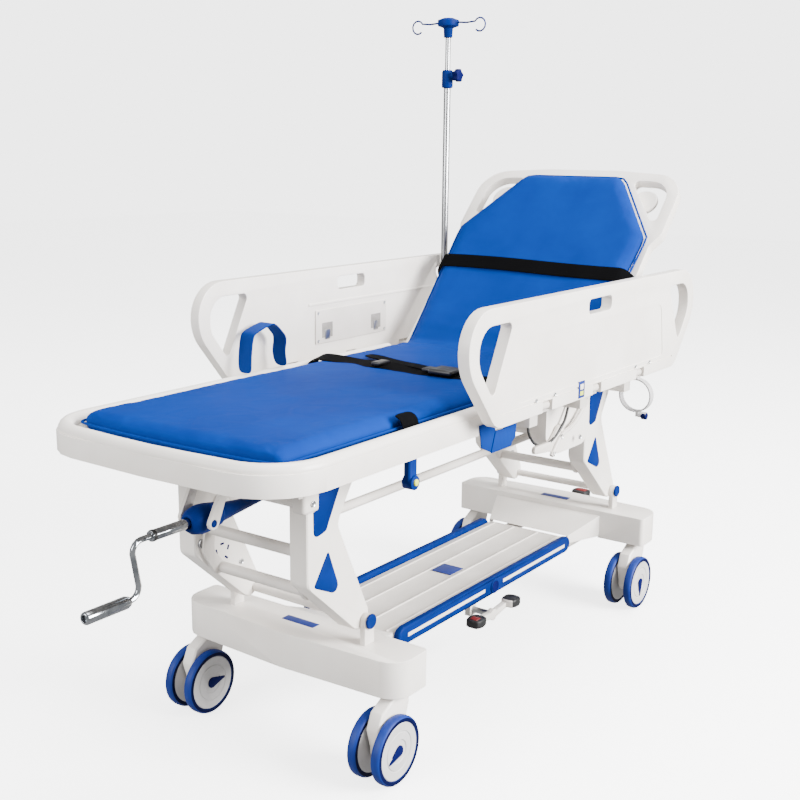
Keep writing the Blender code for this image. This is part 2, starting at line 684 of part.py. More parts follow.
# ================================================================ lift
def lift_plate():
    """One waisted lift plate on the right side, drawn about its base pivot at x = 0."""
    outline = rounded([(-0.185, ARM_TOP, 0.010), (-0.185, 0.126, 0.020), (-0.020, -0.022, 0.020),
                       (0.024, 0.004, 0.020), (-0.090, 0.240, 0.030), (-0.025, LIFT_LENGTH - 0.006, 0.010),
                       (-0.025, LIFT_LENGTH + 0.008, 0.006), (-0.048, ARM_TOP, 0.006)], 2)
    plate = soften(prism(outline, -ARM_OUTER_Y, -ARM_INNER_Y), 0.004, 1, 50.0)
    tie_pin = rod((TIE_X, -ARM_INNER_Y - 0.004, TIE_Z), (TIE_X, -TIE_Y + 0.009, TIE_Z), 0.006, 12)
    plate = join(plate, tie_pin)
    base_bore = rod((0.0, -ARM_OUTER_Y - 0.01, 0.0), (0.0, -ARM_INNER_Y + 0.01, 0.0), PIVOT_RADIUS + PIN_GAP)
    top_bore = rod((-ARM_LEAN, -ARM_OUTER_Y + 0.012, LIFT_LENGTH), (-ARM_LEAN, -ARM_INNER_Y + 0.01, LIFT_LENGTH),
                   TOP_PIN_RADIUS + 2 * PIN_GAP)
    return cut(plate, base_bore, top_bore)


def lift_frame():
    """Cross tubes between a pair of plates, joined by curved lugs, drawn about the base pivot."""
    face = ARM_INNER_Y - SEAT_GAP
    tubes = [rod((x, -face, z), (x, face, z), CROSS_TUBE_RADIUS) for x, z in CROSS_TUBES]
    (upper_x, upper_z), (lower_x, lower_z) = CROSS_TUBES
    outline = rounded([(upper_x - 0.014, upper_z + 0.016, 0.012), (upper_x - 0.026, upper_z - 0.045, 0.03),
                       (lower_x - 0.016, lower_z - 0.016, 0.014), (lower_x + 0.018, lower_z - 0.004, 0.014),
                       (upper_x + 0.006, upper_z - 0.050, 0.03), (upper_x + 0.016, upper_z + 0.010, 0.012)], 2)
    for side in (-1, 1):
        low, high = (-face, -face + 0.010) if side < 0 else (face - 0.010, face)
        tubes.append(prism(outline, low, high))
    return join(tubes[0], *tubes[1:])


def lift_arms():
    plate = lift_plate()
    frame = lift_frame()
    for end, end_name in ((-1, "foot"), (1, "head")):
        pivot = (end * AXLE_X, 0.0, PIVOT_Z)
        name = "lift_" + end_name
        body(name, "base", pivot)
        right = shifted(plate, pivot)
        place(mirrored(right), "lift_plate_" + end_name + "_left", "white_plastic", name)
        place(right, "lift_plate_" + end_name + "_right", "white_plastic", name)
        place(shifted(frame, pivot), "lift_frame_" + end_name, "white_steel", name)
    bpy.data.objects.remove(plate, do_unlink=True)
    bpy.data.objects.remove(frame, do_unlink=True)


def tie_rods():
    """The tubes that keep the two pairs of lift arms in step."""
    foot = -AXLE_X + TIE_X
    head = AXLE_X + TIE_X
    level = PIVOT_Z + TIE_Z
    body("tie", "lift_foot", (foot, 0.0, level))
    bar = rod((foot + TIE_EYE_INSET, -TIE_Y, level), (head - TIE_EYE_INSET, -TIE_Y, level), TIE_RADIUS)
    eyes = [rod((x, -TIE_Y - 0.0105, level), (x, -TIE_Y + 0.0105, level), 0.016) for x in (foot, head)]
    bores = [rod((x, -TIE_Y - 0.03, level), (x, -TIE_Y + 0.03, level), 0.006 + PIN_GAP, 12) for x in (foot, head)]
    right = cut(join(bar, *eyes), *bores)
    left = mirrored(right)
    place(right, "tie_rod_right", "white_steel", "tie")
    place(left, "tie_rod_left", "white_steel", "tie")


# ================================================================ deck
def top_pivot_lugs():
    """Lugs and pins that the lift arms' top pivots turn on, each with its cross member."""
    shapes = []
    for end in (-1, 1):
        pivot_x = end * AXLE_X - ARM_LEAN
        member_x = pivot_x + 0.055
        shapes.append(box((member_x - 0.0125, member_x + 0.0125), (-SPAR_INNER_Y - 0.005, SPAR_INNER_Y + 0.005),
                          (SPAR_BOTTOM, SPAR_TOP)))
        for side in (-1, 1):
            outer = side * LUG_OUTER_Y
            inner = side * (LUG_OUTER_Y - LUG_DEPTH)
            outline = [(member_x + 0.010, SPAR_TOP - 0.002), (pivot_x - 0.008, SPAR_TOP - 0.002)]
            outline += arc((pivot_x, TOP_PIVOT_Z), 0.016, 180.0, 300.0, 5)
            outline += [(member_x + 0.010, SPAR_BOTTOM)]
            shapes.append(prism(outline, min(inner, outer), max(inner, outer)))
            shapes.append(rod((pivot_x, inner, TOP_PIVOT_Z),
                              (pivot_x, side * (ARM_OUTER_Y - 0.014), TOP_PIVOT_Z), TOP_PIN_RADIUS))
    return shapes


def rail_brackets():
    """Arms that reach round the deck's edge to the side rails' hinge knuckles."""
    shapes = []
    bores = []
    for side in (-1, 1):
        for step in (-1, 0, 1):
            x = RAIL_MIDDLE_X + step * KNUCKLE_SPACING
            x_range = (x - KNUCKLE_HALF, x + KNUCKLE_HALF)
            upright = (DECK_HALF_WIDTH + 0.006, RAIL_INNER_Y - 0.006)
            for y_range, z_range in (((SPAR_OUTER_Y - 0.004, upright[1]), (SPAR_TOP - 0.014, SPAR_TOP)),
                                     (upright, (SPAR_TOP - 0.010, RAIL_HINGE_Z + 0.008)),
                                     ((upright[0] + 0.004, RAIL_Y), (RAIL_HINGE_Z - 0.006, RAIL_HINGE_Z + 0.006))):
                shapes.append(box(x_range, y_range if side > 0 else both(*y_range), z_range))
            shapes.append(rod((x - KNUCKLE_HALF, side * RAIL_Y, RAIL_HINGE_Z),
                              (x + KNUCKLE_HALF, side * RAIL_Y, RAIL_HINGE_Z), KNUCKLE_RADIUS))
            bores.append(rod((x - 0.03, side * RAIL_Y, RAIL_HINGE_Z), (x + 0.03, side * RAIL_Y, RAIL_HINGE_Z),
                             RAIL_PIN_RADIUS + PIN_GAP, 12))
    return shapes, bores


def deck_subframe():
    """The welded frame under the deck: spars, cross members and everything that hangs on them."""
    spars = [box((DECK_FOOT_X + 0.130, AXLE_X + 0.012), (SPAR_INNER_Y, SPAR_OUTER_Y), (SPAR_BOTTOM, SPAR_TOP)),
             box((DECK_FOOT_X + 0.130, AXLE_X + 0.012), both(SPAR_INNER_Y, SPAR_OUTER_Y), (SPAR_BOTTOM, SPAR_TOP))]
    shapes = top_pivot_lugs()
    brackets, bores = rail_brackets()
    shapes += brackets
    shapes.append(box((-0.235, -0.205), (-SPAR_INNER_Y - 0.005, SPAR_INNER_Y + 0.005), (SPAR_BOTTOM, SPAR_TOP)))
    shapes.append(box((-0.235, -0.205), (-0.016, 0.016), (SPAR_BOTTOM - 0.045, SPAR_BOTTOM + 0.005)))
    shapes.append(rod((FOOT_TUBE_X, -SPAR_OUTER_Y, FOOT_TUBE_Z), (FOOT_TUBE_X, SPAR_OUTER_Y, FOOT_TUBE_Z), 0.015))
    lug_y = (HINGE_LUG_OUTER_Y - HINGE_LUG_DEPTH, HINGE_LUG_OUTER_Y)
    for side in (-1, 1):
        low, high = lug_y if side > 0 else both(*lug_y)
        outline = [(HINGE_X - 0.012, SPAR_TOP - 0.004), (HINGE_X + 0.012, SPAR_TOP - 0.004)]
        outline += arc((HINGE_X, HINGE_Z), 0.012, 0.0, 180.0, 6)
        shapes.append(prism(outline, low, high))
        spar = (SPAR_INNER_Y, SPAR_OUTER_Y) if side > 0 else both(SPAR_INNER_Y, SPAR_OUTER_Y)
        end_plate = [(FOOT_TUBE_X - 0.018, SPAR_TOP - 0.004), (FOOT_TUBE_X - 0.018, FOOT_TUBE_Z)]
        end_plate += arc((FOOT_TUBE_X, FOOT_TUBE_Z), 0.020, 190.0, 350.0, 6)
        end_plate += [(FOOT_TUBE_X + 0.018, SPAR_TOP - 0.004)]
        shapes.append(prism(end_plate, *spar))
        bores.append(rod((HINGE_X, side * (lug_y[0] - 0.01), HINGE_Z), (HINGE_X, side * (lug_y[1] + 0.01), HINGE_Z),
                         HINGE_PIN_RADIUS + PIN_GAP, 12))
    shapes.append(box((POLE_X - 0.012, POLE_X + 0.012), (SPAR_OUTER_Y - 0.004, POLE_Y - 0.008),
                      (SPAR_BOTTOM, SPAR_TOP - 0.004)))
    shapes.append(rod((POLE_X, POLE_Y, SPAR_BOTTOM - 0.055), (POLE_X, POLE_Y, SPAR_TOP - 0.002), SOCKET_RADIUS))
    bores.append(rod((POLE_X, POLE_Y, SPAR_BOTTOM - 0.045), (POLE_X, POLE_Y, SPAR_TOP + 0.02),
                     POLE_RADIUS + PIN_GAP))
    frame = join(spars[0], spars[1], *shapes)
    place(cut(frame, *bores), "deck_subframe", "white_steel", "deck")


def deck_outline(inset, head_x):
    """The foot deck's plan, drawn in by an inset, up to a head end."""
    half = DECK_HALF_WIDTH - inset
    foot = DECK_FOOT_X + inset
    radius = DECK_CORNER - inset
    return rounded([(head_x, -half, 0.0), (head_x, half, 0.0), (foot + DECK_BOW, half, radius),
                    (foot, 0.0, 0.0), (foot + DECK_BOW, -half, radius)], 5)


def corner_slot(side):
    """The hand opening that follows one foot corner of the deck."""
    outer = RIM_WIDTH
    inner = RIM_WIDTH + RIM_SLOT
    radius_out = DECK_CORNER - outer
    radius_in = DECK_CORNER - inner
    centre = (DECK_FOOT_X + DECK_BOW + DECK_CORNER, DECK_HALF_WIDTH - DECK_CORNER)
    ring = arc(centre, radius_out, 95.0, 180.0, 4) + arc(centre, radius_in, 180.0, 95.0, 4)
    if side > 0:
        return ring
    return [(x, -y) for x, y in reversed(ring)]


def side_slot(side):
    """The long opening between the rim and the deck's floor on one side."""
    outer = DECK_HALF_WIDTH - RIM_WIDTH
    inner = outer - RIM_SLOT
    low, high = (inner, outer) if side > 0 else both(inner, outer)
    start = DECK_FOOT_X + 0.185
    end = start + 0.440
    return rounded([(start, low, 0.010), (end, low, 0.010), (end, high, 0.010), (start, high, 0.010)], 1)


def foot_deck():
    """The moulded deck: a round-edged rim, a floor, and the hand openings."""
    holes = [corner_slot(-1), corner_slot(1), side_slot(-1), side_slot(1)]
    slab = prism(deck_outline(0.0, DECK_HEAD_X), DECK_BOTTOM, RIM_TOP, "XY", holes)
    slab = soften(slab, 0.009, 1, 50.0)
    recess = prism(deck_outline(RIM_WIDTH + 0.001, DECK_HEAD_X + 0.05), DECK_FLOOR, RIM_TOP + 0.02, "XY")
    place(cut(slab, recess), "foot_deck", "white_plastic", "deck")


def seat_mattress():
    """The flat part of the pad."""
    half = MATTRESS_HALF_WIDTH
    foot = DECK_FOOT_X + 0.085
    outline = rounded([(DECK_HEAD_X, -half, 0.0), (DECK_HEAD_X, half, 0.0), (foot, half, 0.020),
                       (foot - 0.020, 0.0, 0.0), (foot, -half, 0.020)], 2)
    low = DECK_FLOOR + SEAT_GAP
    pad = soften(prism(outline, low, low + PAD_THICKNESS, "XY"), 0.010, 2, 50.0)
    place(pad, "seat_mattress", "blue_fabric", "deck")


def crank_support():
    """The yoke under the foot tube and the blue bearing housing with its boot."""
    housing_mid = HOUSING_FOOT_X + 0.030
    top = (FOOT_TUBE_X + 0.009, FOOT_TUBE_Z - 0.0175)
    slope = math.degrees(math.atan2(top[1] - CRANK_Z, top[0] - housing_mid))
    outline = [(top[0] + 0.011, top[1]), (top[0] - 0.011, top[1])]
    outline += arc((housing_mid, CRANK_Z), 0.013, slope + 90.0, slope + 270.0, 6)
    arms = [prism(outline, side * YOKE_Y - 0.004, side * YOKE_Y + 0.004) for side in (-1, 1)]
    plate = box((FOOT_TUBE_X - 0.004, FOOT_TUBE_X + 0.022), (-YOKE_Y - 0.006, YOKE_Y + 0.006),
                (FOOT_TUBE_Z - 0.022, FOOT_TUBE_Z - 0.0153))
    yoke = join(plate, *arms)
    bore = rod((housing_mid, -0.06, CRANK_Z), (housing_mid, 0.06, CRANK_Z), 0.0075 + PIN_GAP)
    place(cut(yoke, bore), "crank_yoke", "white_steel", "deck")
    front = HOUSING_LENGTH
    profile = [(0.0, 0.0), (0.017, 0.0), (0.026, 0.012), (0.030, 0.030), (0.029, 0.050), (0.024, front),
               (0.020, front + 0.004), (0.006, front + BOOT_LENGTH), (0.0, front + BOOT_LENGTH)]
    housing = turned(profile, 16, (HOUSING_FOOT_X, 0.0, CRANK_Z), "X")
    trunnion = rod((housing_mid, -YOKE_Y - 0.004, CRANK_Z), (housing_mid, YOKE_Y + 0.004, CRANK_Z), 0.0075)
    socket = rod((HOUSING_FOOT_X - 0.01, 0, CRANK_Z), (HOUSING_FOOT_X + 0.040, 0, CRANK_Z), CRANK_SLEEVE + PIN_GAP)
    place(cut(join(housing, trunnion), socket), "crank_housing", "blue_plastic", "deck")


def accessory_clip():
    """A small clip under the deck's right edge."""
    x = -0.630
    y = -0.318
    body_box = box((x - 0.014, x + 0.014), (y - 0.006, y + 0.010), (DECK_BOTTOM - 0.055, DECK_BOTTOM - SEAT_GAP))
    roll = rod((x, y - 0.011, DECK_BOTTOM - 0.050), (x, y + 0.013, DECK_BOTTOM - 0.050), 0.015)
    place(join(soften(body_box, 0.003), roll), "accessory_clip", "blue_plastic", "deck")


def cylinder_ring():
    """A band clamp for an oxygen cylinder under the right spar."""
    x = 0.545
    radius = 0.048
    y = -(ARM_OUTER_Y + RING_CLEARANCE + radius)
    middle_z = SPAR_BOTTOM - radius - 0.004
    profile = [(radius, 0.011), (radius, -0.011), (radius - 0.004, -0.011), (radius - 0.004, 0.011)]
    band = turned(profile, 24, (x, y, middle_z), "X")
    tab = box((x - 0.011, x + 0.011), (y - 0.006, -SPAR_INNER_Y - 0.0025), (middle_z + radius - 0.003, SPAR_BOTTOM - SEAT_GAP))
    ear = box((x - 0.009, x + 0.009), (y - 0.012, y - 0.004), (middle_z - radius - 0.012, middle_z - radius + 0.003))
    screw = rod((x, y - 0.009, middle_z - radius - 0.006), (x, y - 0.034, middle_z - radius - 0.006), 0.009, 10)
    place(join(band, tab, ear, screw), "cylinder_ring", "grey_plastic", "deck")


def mechanism_cover():
    """The moulded cover over the backrest gear, under the right spar."""
    low = SPAR_BOTTOM - 0.125
    outline = rounded([(0.015, SPAR_BOTTOM - SEAT_GAP, 0.0), (0.015, low + 0.045, 0.030), (0.080, low, 0.030),
                       (0.235, low, 0.030), (0.250, SPAR_BOTTOM - SEAT_GAP, 0.0)], 3)
    cover = soften(prism(outline, -SPAR_OUTER_Y, -SPAR_INNER_Y + 0.020), 0.005, 1, 50.0)
    pin = rod((0.075, -SPAR_OUTER_Y + 0.004, low + 0.065), (0.075, -SPAR_OUTER_Y - 0.012, low + 0.065), 0.005, 12)
    place(join(cover, pin), "mechanism_cover", "white_plastic", "deck")


def release_lever():
    """The sprung lever that frees the backrest."""
    pivot = (0.075, -SPAR_OUTER_Y - 0.007, SPAR_BOTTOM - 0.060)
    body("release_lever", "deck", pivot)
    x, y, z = pivot
    outline = rounded([(x + 0.014, z + 0.014, 0.010), (x - 0.016, z + 0.012, 0.010), (x - 0.050, z - 0.020, 0.020),
                       (x - 0.135, z - 0.018, 0.008), (x - 0.135, z - 0.036, 0.008), (x - 0.040, z - 0.046, 0.020),
                       (x + 0.014, z - 0.014, 0.010)], 2)
    lever = prism(outline, y - 0.0045, y + 0.0045)
    bore = rod((x, y - 0.02, z), (x, y + 0.02, z), 0.005 + PIN_GAP, 12)
    place(cut(lever, bore), "release_lever", "white_steel", "release_lever")


def gas_spring():
    """The backrest's gas spring; the rod ends in a slotted clevis round the lever's pin."""
    level = SPAR_BOTTOM - 0.032
    stop_x = -0.205 + SEAT_GAP
    mouth_x = stop_x + 0.235
    barrel = rod((stop_x, 0.0, level), (mouth_x, 0.0, level), 0.011)
    bore = rod((stop_x + 0.040, 0.0, level), (mouth_x + 0.02, 0.0, level), 0.005 + PIN_GAP, 12)
    place(cut(barrel, bore), "gas_spring_cylinder", "black_plastic", "deck")
    lean = BACK_ANGLE - LEVER_LEAN
    pin_x = HINGE_X + LEVER_LENGTH * math.sin(lean)
    body("gas_spring_rod", "deck", (pin_x, 0.0, level))
    piston = rod((pin_x - 0.270, 0.0, level), (pin_x - NECK_BACK - 0.0002, 0.0, level), 0.005, 12)
    plate = box((pin_x - 0.018, pin_x + 0.016), (-0.0045, 0.0045), (level - 0.024, level + 0.026))
    plate.data.transform(Matrix.Translation((0.0, 0.0105, 0.0)))
    neck = box((pin_x - 0.030, pin_x - NECK_BACK), (-0.0045, 0.015), (level - 0.006, level + 0.006))
    slot = rounded([(pin_x - 0.010, level - 0.019, 0.008), (pin_x + 0.010, level - 0.019, 0.008),
                    (pin_x + 0.010, level + 0.021, 0.008), (pin_x - 0.010, level + 0.021, 0.008)], 2)
    clevis = cut(join(piston, neck, plate), prism(slot, 0.0, 0.03))
    place(clevis, "gas_spring_rod", "plain_steel", "gas_spring_rod")


def carry_handles():
    """Webbing grips: one hangs at the right side, one stands up on the left rim."""
    face = DECK_HALF_WIDTH + SEAT_GAP
    x = -0.320
    top = DECK_BOTTOM + 0.020
    outer = rounded([(x - 0.080, top, 0.0), (x - 0.080, DECK_BOTTOM - 0.048, 0.030),
                     (x + 0.080, DECK_BOTTOM - 0.048, 0.030), (x + 0.080, top, 0.0)], 3)
    inner = rounded([(x - 0.050, top - 0.020, 0.005), (x - 0.050, DECK_BOTTOM - 0.020, 0.012),
                     (x + 0.050, DECK_BOTTOM - 0.020, 0.012), (x + 0.050, top - 0.020, 0.005)], 2)
    right = prism(outer, -face - 0.0055, -face, holes=[inner])
    place(right, "carry_handle_right", "blue_fabric", "deck")
    x = -0.355
    low = RIM_TOP + SEAT_GAP
    rim_y = DECK_HALF_WIDTH - RIM_WIDTH / 2
    outer = rounded([(x - 0.075, low, 0.0), (x - 0.060, low + 0.115, 0.025), (x + 0.060, low + 0.115, 0.025),
                     (x + 0.075, low, 0.0)], 3)
    inner = rounded([(x - 0.045, low + 0.020, 0.005), (x - 0.035, low + 0.085, 0.010),
                     (x + 0.035, low + 0.085, 0.010), (x + 0.045, low + 0.020, 0.005)], 2)
    left = prism(outer, rim_y - 0.003, rim_y + 0.003, holes=[inner])
    place(left, "carry_handle_left", "blue_fabric", "deck")


# ================================================================ crank
def crank():
    """The chrome crank: sleeve, bent rod, and the grip that spins on its end."""
    body("crank", "deck", (HOUSING_FOOT_X, 0.0, CRANK_Z))
    low = CRANK_Z - CRANK_THROW
    bend = 0.022
    grip_x = CRANK_BEND_X - 0.013
    path = [(HOUSING_FOOT_X - 0.080, 0.0, CRANK_Z)]
    path += [(x, 0.0, z) for x, z in arc((CRANK_BEND_X + bend, CRANK_Z - bend), bend, 90.0, 180.0, 4)]
    path += [(x, 0.0, z) for x, z in arc((CRANK_BEND_X - bend + 0.012, low + bend), bend, 0.0, -90.0, 4)]
    path.append((grip_x - CRANK_GRIP_LENGTH + 0.004, 0.0, low))
    rod_part = tube(path, CRANK_ROD, 1)
    sleeve = rod((HOUSING_FOOT_X + 0.030, 0, CRANK_Z), (HOUSING_FOOT_X - 0.095, 0, CRANK_Z), CRANK_SLEEVE)
    place(join(rod_part, sleeve), "crank_handle", "chrome", "crank")
    body("crank_grip", "crank", (grip_x, 0.0, low))
    profile = [(CRANK_ROD + PIN_GAP, 0.0), (CRANK_GRIP_RADIUS - 0.003, 0.0), (CRANK_GRIP_RADIUS, -0.008),
               (CRANK_GRIP_RADIUS, -CRANK_GRIP_LENGTH + 0.003), (CRANK_GRIP_RADIUS - 0.002, -CRANK_GRIP_LENGTH),
               (CRANK_ROD + PIN_GAP, -CRANK_GRIP_LENGTH)]
    place(turned(profile, 16, (grip_x, 0.0, low), "X"), "crank_grip", "chrome", "crank_grip")


# ================================================================ side rails
def rail_outline():
    """A long panel with a round handle at each end; heights are from the panel's bottom edge."""
    half = RAIL_LENGTH / 2
    height = RAIL_HEIGHT
    right_half = [(half - 0.128, 0.0, 0.040), (half - 0.042, 0.055, 0.060), (half, 0.150, 0.090),
                  (half - 0.030, height - 0.020, 0.050), (half - 0.135, height, 0.070)]
    corners = right_half + [(-u, v, radius) for u, v, radius in reversed(right_half)]
    return [(RAIL_MIDDLE_X + u, RAIL_BOTTOM + v) for u, v in rounded(corners, 3)]


def rail_holes():
    """The two D-shaped handle openings and the grip slot."""
    half = RAIL_LENGTH / 2
    top = RAIL_HEIGHT
    hand = [(half - 0.176, top - 0.034, 0.006), (half - 0.078, top - 0.044, 0.040), (half - 0.060, top - 0.120, 0.060),
            (half - 0.100, top - 0.178, 0.005)]
    rings = [rounded(hand, 3), rounded([(-u, v, radius) for u, v, radius in reversed(hand)], 3)]
    rings.append(rounded([(-0.060, top - 0.060, 0.010), (0.060, top - 0.060, 0.010), (0.060, top - 0.025, 0.010),
                          (-0.060, top - 0.025, 0.010)], 2))
    return [[(RAIL_MIDDLE_X + u, RAIL_BOTTOM + v) for u, v in ring] for ring in rings]


def side_rails():
    """Each rail folds outward about pins that sit in notches along its bottom edge."""
    low = -RAIL_Y - RAIL_THICKNESS / 2
    panel = prism(rail_outline(), low, low + RAIL_THICKNESS, holes=rail_holes())
    notches = []
    pins = []
    for step in (-1, 0, 1):
        x = RAIL_MIDDLE_X + step * KNUCKLE_SPACING
        half = KNUCKLE_HALF + RUN_GAP
        notches.append(box((x - half, x + half), (low - 0.01, low + RAIL_THICKNESS + 0.01),
                           (RAIL_BOTTOM - 0.01, RAIL_HINGE_Z + KNUCKLE_RADIUS + RUN_GAP)))
        pins.append(rod((x - half - 0.004, -RAIL_Y, RAIL_HINGE_Z), (x + half + 0.004, -RAIL_Y, RAIL_HINGE_Z),
                        RAIL_PIN_RADIUS, 12))
    right = join(cut(panel, *notches), *pins)
    left = mirrored(right)
    body("side_rail_right", "deck", (RAIL_MIDDLE_X, -RAIL_Y, RAIL_HINGE_Z))
    body("side_rail_left", "deck", (RAIL_MIDDLE_X, RAIL_Y, RAIL_HINGE_Z))
    place(right, "side_rail_right", "white_plastic", "side_rail_right")
    place(left, "side_rail_left", "white_plastic", "side_rail_left")


# ================================================================ backrest, modelled flat about its hinge
def backrest_panel():
    """The moulded back with a loop handle at each upper corner and its gas spring lever."""
    wide = BACK_LOOP_WIDTH
    narrow = BACK_HALF_WIDTH
    side = [(BACK_START, narrow, 0.010), (BACK_LOOP_START - 0.030, narrow, 0.020), (BACK_LOOP_START + 0.010, wide, 0.020),
            (BACK_LENGTH - 0.010, wide, 0.060), (BACK_LENGTH, wide - 0.120, 0.020)]
    corners = [(u, -v, radius) for u, v, radius in side] + list(reversed(side))
    hand = [(BACK_LOOP_START + 0.060, wide - BACK_BAR, 0.008), (BACK_LENGTH - BACK_BAR - 0.006, wide - BACK_BAR, 0.040),
            (BACK_LENGTH - BACK_BAR, wide - 0.135, 0.012)]
    rings = [rounded(list(reversed(hand)), 3), rounded([(u, -v, radius) for u, v, radius in hand], 3)]
    panel = soften(prism(rounded(corners, 3), -BACK_THICKNESS, 0.0, "XY", rings), 0.008, 1, 50.0)
    inner = HINGE_LUG_OUTER_Y + RUN_GAP
    shapes = []
    for side_sign in (-1, 1):
        y_range = (inner, inner + 0.0075) if side_sign > 0 else both(inner, inner + 0.0075)
        outline = arc((0.0, 0.0), 0.012, 60.0, 270.0, 8) + [(0.040, -0.020), (0.040, -0.004)]
        shapes.append(prism(outline, *y_range))
        shapes.append(rod((0.0, side_sign * (inner + 0.004), 0.0),
                          (0.0, side_sign * (inner - RUN_GAP - HINGE_LUG_DEPTH), 0.0), HINGE_PIN_RADIUS, 12))
    lean = -LEVER_LEAN
    tip = (LEVER_LENGTH * math.sin(lean), -LEVER_LENGTH * math.cos(lean))
    lever = rounded([(tip[0] - 0.011, tip[1] + 0.004, 0.0), (tip[0] - 0.004, tip[1] - 0.011, 0.0),
                     (tip[0] + 0.010, tip[1] - 0.008, 0.0), (0.075, -BACK_THICKNESS + 0.004, 0.0),
                     (0.026, -BACK_THICKNESS + 0.004, 0.0)], 1)
    shapes.append(prism(lever, -0.004, 0.004))
    shapes.append(rod((tip[0], -0.002, tip[1]), (tip[0], 0.018, tip[1]), 0.005, 12))
    place(join(panel, *shapes), "backrest_panel", "white_plastic", "backrest")


def back_mattress():
    """The tilting part of the pad, with cut upper corners."""
    half = BACK_HALF_WIDTH
    top = BACK_LENGTH - 0.034
    side = [(0.031, half - 0.025, 0.0), (0.440, half, 0.015), (top, half - 0.150, 0.015)]
    corners = [(u, -v, radius) for u, v, radius in side] + list(reversed(side))
    pad = prism(rounded(corners, 2), SEAT_GAP, SEAT_GAP + PAD_THICKNESS, "XY")
    place(soften(pad, 0.010, 2, 50.0), "back_mattress", "blue_fabric", "backrest")


# ================================================================ drip pole
def drip_pole():
    """A fixed tube in its socket, with a clamp collar at its top."""
    foot = SPAR_BOTTOM - 0.045 + SEAT_GAP
    pole = rod((POLE_X, POLE_Y, foot), (POLE_X, POLE_Y, POLE_HEIGHT), POLE_RADIUS)
    bore = rod((POLE_X, POLE_Y, POLE_HEIGHT - POLE_TUCKED - POLE_DROP - 0.01),
               (POLE_X, POLE_Y, POLE_HEIGHT + 0.02), POLE_BORE)
    place(cut(pole, bore), "iv_pole_lower", "plain_steel", "deck")
    low = POLE_HEIGHT - 0.030
    high = POLE_HEIGHT + 0.020
    profile = [(POLE_BORE, high), (0.013, high), (0.0165, high - 0.006), (0.0165, low + 0.004), (0.015, low),
               (POLE_RADIUS + PIN_GAP / 2, low), (POLE_RADIUS + PIN_GAP / 2, POLE_HEIGHT + SEAT_GAP),
               (POLE_BORE, POLE_HEIGHT + SEAT_GAP)]
    collar = turned(list(reversed(profile)), 16, (POLE_X, POLE_Y, 0.0), "Z")
    boss_z = POLE_HEIGHT + 0.004
    boss = rod((POLE_X, POLE_Y - 0.013, boss_z), (POLE_X, POLE_Y - 0.026, boss_z), 0.009, 12)
    place(join(collar, boss), "iv_clamp_collar", "blue_plastic", "deck")
    knob_y = POLE_Y - 0.026 - SEAT_GAP
    body("clamp_knob", "deck", (POLE_X, knob_y, boss_z))
    star = []
    for step in range(20):
        radius = 0.019 if step % 4 in (0, 1) else 0.015
        angle = 2.0 * math.pi * step / 20
        star.append((POLE_X + radius * math.cos(angle), boss_z + radius * math.sin(angle)))
    place(prism(star, knob_y - 0.018, knob_y), "iv_clamp_knob", "black_plastic", "clamp_knob")


def hook(side):
    """One wire hook: a straight reach that turns into a round loop."""
    z = POLE_HEIGHT + POLE_EXPOSED + 0.022
    start = side * 0.020
    centre_y = side * HOOK_REACH
    path = [(POLE_X, POLE_Y + start, z), (POLE_X, POLE_Y + side * 0.062, z - 0.003)]
    for step in range(11):
        angle = math.radians(150.0 - 285.0 * step / 10)
        path.append((POLE_X, POLE_Y + centre_y + side * HOOK_LOOP * math.cos(angle),
                     z - 0.010 + HOOK_LOOP * math.sin(angle)))
    return tube(path, HOOK_WIRE, 0)


def sliding_pole():
    """The upper tube and the hub with its two wire hooks."""
    top = POLE_HEIGHT + POLE_EXPOSED
    body("pole_slide", "deck", (POLE_X, POLE_Y, POLE_HEIGHT))
    upper = rod((POLE_X, POLE_Y, POLE_HEIGHT - POLE_TUCKED), (POLE_X, POLE_Y, top), POLE_UPPER_RADIUS)
    place(upper, "iv_pole_upper", "plain_steel", "pole_slide")
    low = top - 0.020
    bore = POLE_UPPER_RADIUS + SEAT_GAP
    profile = [(0.0, top + 0.034), (0.014, top + 0.034), (HUB_TOP_RADIUS, top + 0.028), (HUB_TOP_RADIUS, top + 0.012),
               (0.014, top + 0.006), (0.0125, low), (bore, low), (bore, top + SEAT_GAP), (0.0, top + SEAT_GAP)]
    hub = turned(profile, 16, (POLE_X, POLE_Y, 0.0), "Z")
    place(join(hub, hook(-1), hook(1)), "iv_hook_bar", "blue_plastic", "pole_slide")


# ================================================================ assembly
def build():
    make_materials()
    body("base", None, (0.0, 0.0, 0.0))
    chassis_frame()
    base_covers()
    storage_tray()
    tray_bumpers()
    pivot_shafts()
    casters()
    brake_linkage()
    head_brake_pedal()
    lift_arms()
    tie_rods()
    body("deck", "lift_foot", (-AXLE_X - ARM_LEAN, 0.0, TOP_PIVOT_Z))
    deck_subframe()
    foot_deck()
    seat_mattress()
    crank_support()
    accessory_clip()
    cylinder_ring()
    mechanism_cover()
    release_lever()
    gas_spring()
    carry_handles()
    crank()
    side_rails()
    body("backrest", "deck", (HINGE_X, 0.0, HINGE_Z), BACK_ANGLE)
    backrest_panel()
    back_mattress()
    drip_pole()
    sliding_pole()


clear_scene()
PARTS = new_collection("transfer_stretcher")
build()
bpy.context.view_layer.update()
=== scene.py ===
import json
import math

import bmesh
import bpy
from mathutils import Matrix, Vector, noise


